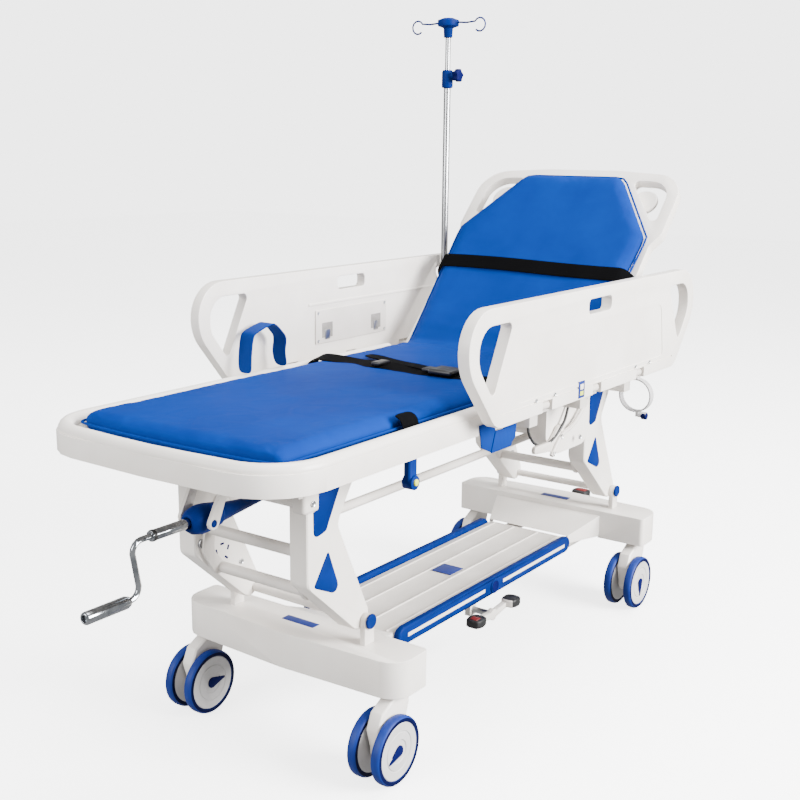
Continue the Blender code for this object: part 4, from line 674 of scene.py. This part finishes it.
def pale_middle(piece, node):
    """Coat the rocker between its two black pads in white."""
    low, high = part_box(node)
    piece.data.materials.append(WHITE_COAT)
    for face in piece.data.polygons:
        face.material_index = int(low.x + PAD_REACH < face.center.x < high.x - PAD_REACH)


# ------------------------------------------------------------------ side rails
NOTCH_SPACING = 0.2465
NOTCH_WIDTH = 0.045
NOTCH_HEIGHT = 0.026
RAIL_EDGE = 0.0118           # the round of the rail's edges, almost half its thickness
WELL_DEPTH = 0.0016
SEAM_LOW, SEAM_HIGH, SEAM_DEPTH = 0.0275, 0.0325, 0.0028


def rounded_outline(corners, steps=9):
    """A closed outline from (u, v, radius) corners, each rounded by its own radius."""
    outline = []
    for k, (u, v, radius) in enumerate(corners):
        here = Vector((u, v))
        back = (Vector(corners[k - 1][:2]) - here).normalized()
        ahead = (Vector(corners[(k + 1) % len(corners)][:2]) - here).normalized()
        half = back.angle(ahead) / 2
        reach = radius / math.tan(half)
        centre = here + (back + ahead).normalized() * radius / math.sin(half)
        first, last = here + back * reach - centre, here + ahead * reach - centre
        start = math.atan2(first.y, first.x)
        turn = (math.atan2(last.y, last.x) - start + math.pi) % (2 * math.pi) - math.pi
        for step in range(steps + 1):
            angle = start + turn * step / steps
            outline.append(centre + Vector((math.cos(angle), math.sin(angle))) * radius)
    return outline


def slab(outline, low, high):
    """An upright slab between two places across the bed, from its (x, z) outline."""
    mesh = bpy.data.meshes.new("slab")
    mesh.from_pydata([(u, low, v) for u, v in outline], [], [tuple(range(len(outline)))])
    push = {"TRANSFORM_OT_translate": {"value": (0, high - low, 0)}}
    return outward(edited(linked("slab", mesh), (bpy.ops.mesh.extrude_region_move, push)))


def cut_away(piece, *tools):
    """Cut tools from a piece."""
    for tool in tools:
        applied(piece, "BOOLEAN", operation="DIFFERENCE", solver="EXACT", object=tool)
        bpy.data.objects.remove(tool)
    return piece


def side_rail(side, name):
    """A blow-moulded rail: rounded edges, a D handle at each end, a grip slot and three hinge notches."""
    node = "side_rail_" + name
    low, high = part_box(node)
    middle = (low.x + high.x) / 2
    half, tall = (high.x - low.x) / 2, high.z - low.z
    full = half + 0.0040            # the rounded ends stop short of the outline's corner
    end = [(full - 0.112, 0.0, 0.055), (full, 0.135, 0.105), (full, tall, 0.084)]
    outline = rounded_outline(end + [(-u, v, radius) for u, v, radius in reversed(end)])
    hand = [(full - 0.172, tall - 0.036, 0.012), (full - 0.040, tall - 0.036, 0.052),
            (full - 0.038, 0.142, 0.066), (full - 0.096, 0.068, 0.010)]
    grip = [(-0.060, tall - 0.060, 0.012), (0.060, tall - 0.060, 0.012), (0.060, tall - 0.025, 0.012),
            (-0.060, tall - 0.025, 0.012)]
    rings = [hand, [(-u, v, radius) for u, v, radius in reversed(hand)], grip]

    def placed(ring):
        return [(middle + u, low.z + v) for u, v in ring]

    panel = slab(placed(outline), low.y, high.y)
    cut_away(panel, *[slab(placed(rounded_outline(ring)), low.y - 0.02, high.y + 0.02) for ring in rings])
    eased(panel, RAIL_EDGE, 5, 50.0)
    tools = []
    for step in (-1, 0, 1):
        x, y = middle + step * NOTCH_SPACING, (low.y + high.y) / 2
        tools.append(plain_block((x - NOTCH_WIDTH / 2, y - 0.04, low.z - NOTCH_HEIGHT),
                                 (x + NOTCH_WIDTH / 2, y + 0.04, low.z + NOTCH_HEIGHT)))
    cut_away(panel, *tools)
    outer = outer_face(node, side)
    well = [(-half + 0.190, 0.040, 0.014), (half - 0.190, 0.040, 0.014), (half - 0.215, tall - 0.078, 0.022),
            (-half + 0.215, tall - 0.078, 0.022)]
    cut_away(panel, slab(placed(rounded_outline(well)), outer - WELL_DEPTH, outer + WELL_DEPTH))
    reach = full - 0.130
    seam = [(-reach, SEAM_LOW), (reach, SEAM_LOW), (reach, SEAM_HIGH), (-reach, SEAM_HIGH)]
    cut_away(panel, slab(placed(seam), outer - SEAM_DEPTH, outer + SEAM_DEPTH))
    finished(panel, node + "_skin", WHITE_ABS, node, (node,), angle=40.0)


def back_leaf(outline, low, high):
    """A slab in the backrest's own plane, from its (along, across) outline, between two heights off it."""
    piece = slab(outline, low, high)
    for vertex in piece.data.vertices:
        along, off, across = vertex.co
        vertex.co = on_back(along, across, off)
    outward(piece)
    return piece


BACK_THICK = 0.028
BACK_JOIN = 0.360            # above this the backrest is its loop-handled head


def backrest():
    """The moulded back: its lower half with the hinge lugs, and a bowed head with two loop handles."""
    side = [(BACK_JOIN - 0.020, 0.300, 0.001), (0.436, 0.300, 0.020), (0.478, 0.3215, 0.040),
            (0.688, 0.3215, 0.086), (0.704, 0.110, 0.160)]
    corners = [(u, -v, radius) for u, v, radius in side] + list(reversed(side))
    hand = [(0.500, 0.290, 0.012), (0.664, 0.290, 0.062), (0.668, 0.168, 0.012)]
    head = back_leaf(rounded_outline(corners), -BACK_THICK, 0.0)
    loops = [rounded_outline([(u, turn * v, radius) for u, v, radius in hand]) for turn in (-1, 1)]
    cut_away(head, *[back_leaf(loop, -0.05, 0.02) for loop in loops])
    eased(head, RAIL_EDGE, 5, 50.0)
    panel = moulded_copy("backrest_panel")
    cut_away(panel, back_leaf([(BACK_JOIN, -0.4), (0.8, -0.4), (0.8, 0.4), (BACK_JOIN, 0.4)], -0.035, 0.012))
    applied(panel, "BOOLEAN", operation="UNION", solver="EXACT", object=head)
    bpy.data.objects.remove(head)
    finished(panel, "backrest_panel_skin", WHITE_ABS, "backrest", ("backrest_panel",), angle=40.0)
    bosses = [drum(on_back(0.600, turn * 0.222, -0.017), OFF_BACK, 0.041, 0.012, 0.004, 48, top=0.002)
              for turn in (-1, 1)]
    finished(joined(*bosses), "back_bosses", WHITE_ABS, "backrest")


def shaft_caps():
    """Round blue caps over the ends of the lift arms' base shafts."""
    for end in ("foot", "head"):
        node = "pivot_shaft_" + end
        middle = sum(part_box(node), Vector()) / 2
        for side, name in SIDES:
            place = Vector((middle.x, outer_face(node, side) - side * 0.001, middle.z))
            cap = drum(place, (0, side, 0), 0.0165, 0.006, 0.002, 36)
            finished(cap, f"shaft_cap_{end}_{name}", BLUE_ABS, "base")


DECK_CORNER = 0.130
DECK_BOW = 0.010
RIM_RADIUS = 0.0155
RIM_CUT = 0.7475             # the tray is cut down to this height inside its rim


def deck_line(inset, level, steps=9):
    """The deck's edge round its sides and foot end, drawn in by an inset, at a level."""
    low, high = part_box("foot_deck")
    half = high.y - MIDDLE.y - inset
    corner = DECK_CORNER - inset
    foot = low.x + inset
    line = [Vector((high.x - 0.004, MIDDLE.y - half, level))]
    for step in range(steps + 1):
        turn = math.radians(90) * step / steps
        line.append(Vector((foot + DECK_BOW + corner * (1 - math.sin(turn)),
                            MIDDLE.y - half + corner * (1 - math.cos(turn)), level)))
    line += [Vector((foot + DECK_BOW * 0.3, MIDDLE.y - half * 0.3, level)), Vector((foot, MIDDLE.y, level))]
    return line + [Vector((p.x, 2 * MIDDLE.y - p.y, p.z)) for p in reversed(line[:-1])]


def deck():
    """The moulded deck: its tray cut down under a round tubular rim, with a raised lip round the pad."""
    low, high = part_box("foot_deck")
    tray = moulded_copy("foot_deck")
    cut_away(tray, plain_block((low.x - 1.0, MIDDLE.y - 0.5, RIM_CUT),
                               (low.x + 2.0, MIDDLE.y + 0.5, RIM_CUT + 0.1)))
    eased(tray, 0.004, 3)
    finished(tray, "deck_tray", WHITE_ABS, "deck", ("foot_deck",))
    rim = sweep(deck_line(RIM_RADIUS + 0.0005, high.z - RIM_RADIUS), RIM_RADIUS, smooth=False, resolution=7)
    finished(rim, "deck_rim", WHITE_ABS, "deck", angle=60)
    lip = sweep(deck_line(0.0455, PAD_LOW.z + 0.0035), 0.0045, smooth=False, resolution=3)
    finished(lip, "deck_lip", WHITE_ABS, "deck", angle=60)


def far_plate_fittings():
    """Bolts, and a ring of dark navy slot marks that paint the shade of the openings, on the lift plates' inner
    faces.
    """
    for end in (-1, 1):
        node = f"lift_plate_{'foot' if end < 0 else 'head'}_left"
        inner = MIDDLE.y + 0.132
        centre = Vector((MIDDLE.x + end * AXLE - 0.103, inner - 0.0008, 0.433))
        slot_half = Vector((0.0022, 0.0008, 0.0055))
        # The slot openings are not cut: thin dark navy plates on the face stand in for them and paint the shade
        # inside them.
        slot_shades = []
        for k in range(5):
            angle = math.radians(20 + 72 * k)
            place = centre + Vector((math.cos(angle), 0, math.sin(angle))) * 0.019
            slot_shade = block(place - slot_half, place + slot_half, 0.0008)
            only(slot_shade)
            bpy.ops.transform.rotate(value=-angle, orient_axis="Y", center_override=place)
            slot_shades.append(slot_shade)
        finished(joined(*slot_shades), node + "_slots", NAVY_ABS, BODY_OF[node])
        screws(node + "_bolts", BODY_OF[node], (0, -1, 0),
               [(MIDDLE.x + end * AXLE + x, inner - 0.002, z, r) for x, z, r in
                ((-0.165, 0.470, 0.011), (-0.172, 0.512, 0.006), (-0.045, 0.395, 0.006))])


def near_side_linkage():
    """The curved arm, bolts and black cable in front of the gear cover."""
    low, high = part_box("mechanism_cover")
    start, tall = Vector((low.x, low.y - 0.002, low.z)), high.z - low.z
    arm = [(0.190, 0.0, tall - 0.004), (0.120, 0.0, 0.070), (0.050, 0.0, 0.050), (0.006, 0.0, 0.010)]
    arm = sweep([start + Vector(point) for point in arm], 0.0055)
    finished(arm, "gear_link", WHITE_COAT, "deck", angle=60)
    screws("gear_cover_bolts", "deck", (0, -1, 0),
           [(start.x + x, start.y - 0.004, start.z + z, 0.006) for x, z in
            ((0.012, 0.014), (0.050, 0.050), (0.150, 0.030))])
    cable = [(-0.060, 0.030, tall + 0.010), (-0.070, 0.020, 0.070), (-0.020, 0.010, 0.040), (0.060, 0.0, 0.080),
             (0.100, 0.006, tall - 0.002)]
    cable = sweep([start + Vector(point) for point in cable], 0.0035)
    finished(cable, "release_cable", BLACK_ABS, "deck", angle=60)


def foot_tube_brackets():
    """Rounded brackets with a bolt and a blue tab at the ends of the tube under the foot end."""
    for side, name in SIDES:
        y = MIDDLE.y + side * 0.2575
        low = Vector((MIDDLE.x - 0.905, y - 0.016, 0.645))
        bracket = block(low, (MIDDLE.x - 0.858, y + 0.016, 0.704), 0.008, 4)
        finished(bracket, "foot_tube_bracket_" + name, WHITE_COAT, "deck")
        bolt = screw(Vector((MIDDLE.x - 0.880, y + side * 0.017, 0.664)), (0, side, 0), 0.006)
        finished(bolt, "foot_tube_bolt_" + name, ZINC, "deck")
        tab = block((MIDDLE.x - 0.910, y - 0.018, 0.6905), (MIDDLE.x - 0.884, y + 0.018, 0.7045), 0.002)
        finished(tab, "foot_tube_tab_" + name, BLUE_ABS, "deck")


def ring_knob():
    """The navy knob that tightens the cylinder ring."""
    low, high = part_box("cylinder_ring")
    place = Vector(((low.x + high.x) / 2, low.y + 0.020, low.z + 0.006))
    knob = drum(place, (0, -1, 0), 0.011, 0.016, 0.003, 8)
    finished(knob, "ring_knob", NAVY_ABS, "deck")


# ------------------------------------------------------------------ casters
def turned_piece(profile, centre, sides=64):
    """A turned piece about a Y axis through its centre, from (radius, width) corners, closed on itself."""
    mesh = bpy.data.meshes.new("turned")
    points = [(centre.x, centre.y + width, centre.z + radius) for radius, width in profile]
    mesh.from_pydata(points, [(k, (k + 1) % len(points)) for k in range(len(points))], [])
    spin = {"steps": sides, "angle": 2 * math.pi, "center": centre, "axis": (0, 1, 0)}
    return outward(edited(linked("turned", mesh), (bpy.ops.mesh.spin, spin),
                          (bpy.ops.mesh.remove_doubles, {"threshold": 0.00005})))


MARK_TURN = {"foot_right": 205.0, "foot_left": 2.0, "head_right": 268.0, "head_left": 268.0}


def drop_mark(centre, degrees, out):
    """A raised drop on the wheel's face, round at the middle and pointed towards the tread."""
    point = Matrix.Rotation(math.radians(degrees), 2)
    shape = rounded_outline([(-0.013, -0.0125, 0.0110), (0.0, -0.0125, 0.010), (0.0390, -0.0020, 0.0008),
                             (0.0390, 0.0020, 0.0008), (0.0, 0.0125, 0.010), (-0.013, 0.0125, 0.0110)])
    turned = [point @ place for place in shape]
    outline = [(centre.x + place.x, centre.z + place.y) for place in turned]
    ends = sorted((centre.y + out - 0.0015, centre.y + out + 0.0012))
    return eased(slab(outline, *ends), 0.0006, 2, 50.0)


def wheels():
    """Twin wheels: a rounded blue tread on a stepped grey disc with a round hub cap."""
    for end in ENDS:
        centre = Vector(JOINTS["wheel_spin_" + end]["pos_m"])
        body = "wheel_" + end
        discs = []
        caps = []
        for which in ("inner", "outer"):
            node = f"tyre_{which}_{end}"
            low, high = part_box(node)
            middle = Vector((centre.x, (low.y + high.y) / 2, centre.z))
            half, radius = (high.y - low.y) / 2, (high.z - low.z) / 2
            tread = [(radius - 0.012, half), (radius - 0.0032, half), (radius - 0.0008, half - 0.0022),
                     (radius, half - 0.006), (radius, 0.006 - half), (radius - 0.0012, 0.0025 - half),
                     (radius - 0.004, -half), (radius - 0.012, -half)]
            rubber = finished(turned_piece(tread, middle), node + "_tread", TREAD, body, (node,))
            # Faces that point sideways take the darker copy: painted shade on the tread's flat sides.
            rubber.data.materials.append(TREAD_SIDE_SHADE)
            for face in rubber.data.polygons:
                face.material_index = int(abs(face.normal.y) > 0.75)
            out = 1 if (middle.y > centre.y) else -1
            face = half - 0.0008
            disc = [(0.0, face - 0.002), (0.024, face - 0.002), (0.026, face), (0.040, face - 0.0006),
                    (0.0415, face - 0.0022), (0.0435, face - 0.0022), (0.045, face - 0.0006),
                    (radius - 0.014, face), (radius - 0.0122, face - 0.0015), (radius - 0.0122, -face),
                    (0.026, -face), (0.0, -face)]
            disc = [(max(r, 0.0002), out * w) for r, w in disc]
            discs.append(turned_piece(disc, middle))
            caps.append(drop_mark(middle, MARK_TURN[end], out * (half - 0.0012)))
        axle = drum(centre, (0, 1, 0), 0.0105, 0.060, 0.001, 24)
        finished(joined(*discs, axle), "wheel_discs_" + end, GREY_ABS, body, ("wheel_hub_" + end,))
        finished(joined(*caps), "hub_caps_" + end, NAVY_ABS, body)


# ------------------------------------------------------------------ small fittings
COVER_LABEL = 0.597          # the cover labels, from the middle of the wheelbase


def label_plates():
    """Plain blue plates on the covers and the tray."""
    for side in (-1, 1):
        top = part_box("base_cover_foot")[1].z
        plate = block(at(side * COVER_LABEL - 0.012, -0.045, top - 0.0005),
                      at(side * COVER_LABEL + 0.012, 0.045, top + 0.0012), 0.0008)
        finished(plate, "cover_label_" + ("foot" if side < 0 else "head"), LABEL, "base")
    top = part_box("storage_tray")[1].z
    finished(block(at(-0.030, -0.030, top - 0.0010), at(0.030, 0.030, top + 0.0006), 0.0004),
             "tray_label", LABEL, "base")


def bumper_trim():
    """Two pale stripes and a plain round boss on each side bumper."""
    for side, name in SIDES:
        low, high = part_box("tray_bumper_" + name)
        outer = outer_face("tray_bumper_" + name, side)
        face = outer - side * 0.0045
        middle = (low.z + high.z) / 2
        strips = []
        for ends in ((low.x + 0.035, MIDDLE.x - 0.045), (MIDDLE.x + 0.045, high.x - 0.035)):
            strips.append(block((ends[0], min(face, face + side * 0.0012), middle - 0.0045),
                                (ends[1], max(face, face + side * 0.0012), middle + 0.0045), 0.0005))
        finished(joined(*strips), "bumper_stripes_" + name, WHITE_ABS, "base")
        boss = drum(Vector((MIDDLE.x, outer, middle)), (0, side, 0), 0.015, 0.003, 0.001, 32, top=0.001)
        finished(boss, "bumper_boss_" + name, NAVY_ABS, "base")


UPPER_INLAY = ((-0.168, 0.332, 0.001), (-0.078, 0.325, 0.001), (-0.128, 0.232, 0.012), (-0.166, 0.224, 0.012))
LOWER_INLAY = ((-0.121, 0.188, 0.003), (-0.078, 0.080, 0.014), (-0.167, 0.122, 0.006))
INLAY_FOOT = 0.320           # the height that the inlays' corners are counted from


def inlays():
    """Blue inlays in the lift plates: a blade above the waist and a rounded triangle below it."""
    for end in (-1, 1):
        for side, name in SIDES:
            node = f"lift_plate_{'foot' if end < 0 else 'head'}_{name}"
            y = outer_face(node, side) + side * 0.0004
            pieces = []
            for outline in (UPPER_INLAY, LOWER_INLAY):
                corners = [(MIDDLE.x + end * AXLE + u, y, INLAY_FOOT + v)
                           for u, v in rounded_outline(outline, 5)]
                pieces.append(sheet_metal(corners, 0.0026, 0.0010))
            finished(joined(*pieces), f"{node}_inlay", BLUE_ABS, BODY_OF[node])


def rail_details():
    """Hinge screws, a plain label, and the latch plate inside the far rail."""
    for side, name in SIDES:
        node = "side_rail_" + name
        low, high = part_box(node)
        outer, inner = (low.y, high.y) if side < 0 else (high.y, low.y)

        def inside(left, right, foot, top, off, half, edge):
            return block((MIDDLE.x + left, inner - side * off - half, low.z + foot),
                         (MIDDLE.x + right, inner - side * off + half, low.z + top), edge)

        screws(node + "_screws", node, (0, side, 0),
               [(MIDDLE.x + x, outer + side * 0.0006, low.z + 0.034, 0.0045)
                for x in (-0.2535, -0.1685, 0.2615, 0.3465)])
        latches = (-0.085, 0.130)
        pockets = [inside(x, x + 0.045, 0.075, 0.115, 0.0035, 0.0012, 0.001) for x in latches]
        hooks = [inside(x + 0.012, x + 0.032, 0.070, 0.096, 0.0052, 0.0016, 0.0014) for x in latches]
        ledge = inside(-0.135, high.x - MIDDLE.x - 0.150, 0.163, 0.170, 0.0012, 0.0014, 0.0013)
        plate = inside(-0.110, 0.203, 0.060, 0.150, 0.002, 0.002, 0.003)
        finished(plate, node + "_latch_plate", WHITE_COAT, node)
        finished(joined(*pockets), node + "_latch_pockets", POCKET, node)
        finished(joined(*hooks), node + "_latch_hooks", ZINC, node)
        finished(ledge, node + "_ledge", WHITE_ABS, node)
        screws(node + "_latch_screws", node, (0, -side, 0),
               [(MIDDLE.x + x, inner - side * 0.0045, low.z + z, 0.004)
                for x in (-0.100, 0.193) for z in (0.068, 0.142)])
    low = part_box("side_rail_right")[0]
    for piece, material, front, (left, foot), (right, top), edge in (
            ("rail_label", LABEL, (-0.0014, 0.0006), (-0.052, 0.004), (-0.022, 0.044), 0.0008),
            ("rail_label_window", WHITE_ABS, (-0.0020, -0.0010), (-0.045, 0.024), (-0.029, 0.037), 0.0003),
            ("rail_label_stripe", LIME_ABS, (-0.0020, -0.0010), (-0.045, 0.010), (-0.029, 0.020), 0.0003)):
        plate = block((MIDDLE.x + left, low.y + front[0], low.z + foot),
                      (MIDDLE.x + right, low.y + front[1], low.z + top), edge)
        finished(plate, piece, material, "side_rail_right")


def pedal_pads():
    """The red marks on the brake pedals' black pads."""
    marks = [("brake_rocker_" + name, "brake_pad_" + name, "brake") for _, name in SIDES]
    for node, name, body in marks + [("head_brake_pedal", "head_pedal_pad", "head_pedal")]:
        low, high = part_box(node)
        left, right, deep = low.x + 0.008, low.x + 0.028, 0.002
        if body == "head_pedal":
            left, right, deep = high.x - 0.032, high.x - 0.008, 0.004
        mark = block((left, low.y + 0.010, high.z - deep), (right, high.y - 0.010, high.z + 0.0016), 0.0016)
        finished(mark, name, RED_ABS, body)


def clip_button():
    """The lime button on the clip under the deck's edge."""
    low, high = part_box("accessory_clip")
    place = Vector(((low.x + high.x) / 2, low.y - 0.001, low.z + 0.016))
    button = drum(place, (0, -1, 0), 0.007, 0.006, 0.002, 24)
    finished(button, "clip_button", LIME_ABS, "deck")


SLEEVE_END = -1.0215         # from the middle of the wheelbase
CRANK_HEIGHT = 0.585


def crank_ring():
    """The black ring at the outer end of the crank's sleeve."""
    ring = drum(at(SLEEVE_END, 0.0, CRANK_HEIGHT), (-1, 0, 0), 0.0118, 0.009, 0.002, 32)
    finished(ring, "crank_ring", BLACK_ABS, "crank")


# ------------------------------------------------------------------ floor, lights and camera
SOFT_LIGHT = 0.70            # the even light from all round
BACKDROP_LIGHT = 4.0         # how bright the backdrop looks
LIGHTS = (("key", (1.0, -5.2, 2.6), 1600), ("fill", (-5.0, 1.5, 3.0), 400), ("top", (1.2, -0.5, 5.0), 360))
LIGHT_SIZE = 3.0
CAMERA_PLACE = (-2.4536, -1.586, 1.3059)
CAMERA_LENS = 52.5
CAMERA_TURN = (0.6182, 0.2149, 0.0103)       # yaw, pitch and roll


def studio():
    """A pale floor, soft lights and the camera."""
    bpy.ops.object.select_all(action="DESELECT")
    bpy.ops.mesh.primitive_plane_add(size=30.0, location=(0, 0, -0.0005))
    floor = bpy.context.active_object
    floor.name = "floor"
    floor.data.materials.append(
        colour_and_grain("pale_floor", ("#F4F4F4", "#F6F6F6"), 900, (0.75, 0.9), 6.0, 0.02,
                         Emission_Color=srgb("#FFFFFF"), Emission_Strength=3.2))
    floor.visible_diffuse = floor.visible_glossy = False
    world = bpy.data.worlds.new("studio")
    world.use_nodes = True
    tree = world.node_tree
    soft = tree.nodes["Background"]
    soft.inputs["Color"].default_value = srgb("#FFFFFF")
    soft.inputs["Strength"].default_value = SOFT_LIGHT
    bright = add(tree, "ShaderNodeBackground", {"Color": srgb("#FFFFFF"), "Strength": BACKDROP_LIGHT})
    seen = add(tree, "ShaderNodeLightPath")
    mix = add(tree, "ShaderNodeMixShader", links={"Fac": seen.outputs["Is Camera Ray"]})
    tree.links.new(soft.outputs["Background"], mix.inputs[1])
    tree.links.new(bright.outputs["Background"], mix.inputs[2])
    tree.links.new(mix.outputs["Shader"], tree.nodes["World Output"].inputs["Surface"])
    bpy.context.scene.world = world
    for name, place, power in LIGHTS:
        bpy.ops.object.light_add(type="AREA", location=place)
        light = bpy.context.active_object
        light.name = name
        light.data.size = LIGHT_SIZE
        light.data.energy = power
        light.rotation_euler = (Vector((0.1, 0.0, 0.6)) - Vector(place)).to_track_quat("-Z", "Y").to_euler()
    bpy.ops.object.camera_add(location=at(*CAMERA_PLACE))
    camera = bpy.context.active_object
    camera.data.lens = CAMERA_LENS
    camera.data.sensor_width = 36.0
    yaw, pitch, roll = CAMERA_TURN
    look = Vector((math.cos(yaw) * math.cos(pitch), math.sin(yaw) * math.cos(pitch), -math.sin(pitch)))
    turn = look.to_track_quat("-Z", "Y").to_matrix() @ Matrix.Rotation(roll, 3, "Z")
    camera.rotation_euler = turn.to_euler()
    bpy.context.scene.camera = camera


studio()
pad()
moulded_parts()
wheels()
straps()
grips()
for rail_side, rail_name in SIDES:
    side_rail(rail_side, rail_name)
backrest()
shaft_caps()
deck()
far_plate_fittings()
near_side_linkage()
foot_tube_brackets()
ring_knob()
label_plates()
bumper_trim()
inlays()
rail_details()
pedal_pads()
clip_button()
crank_ring()
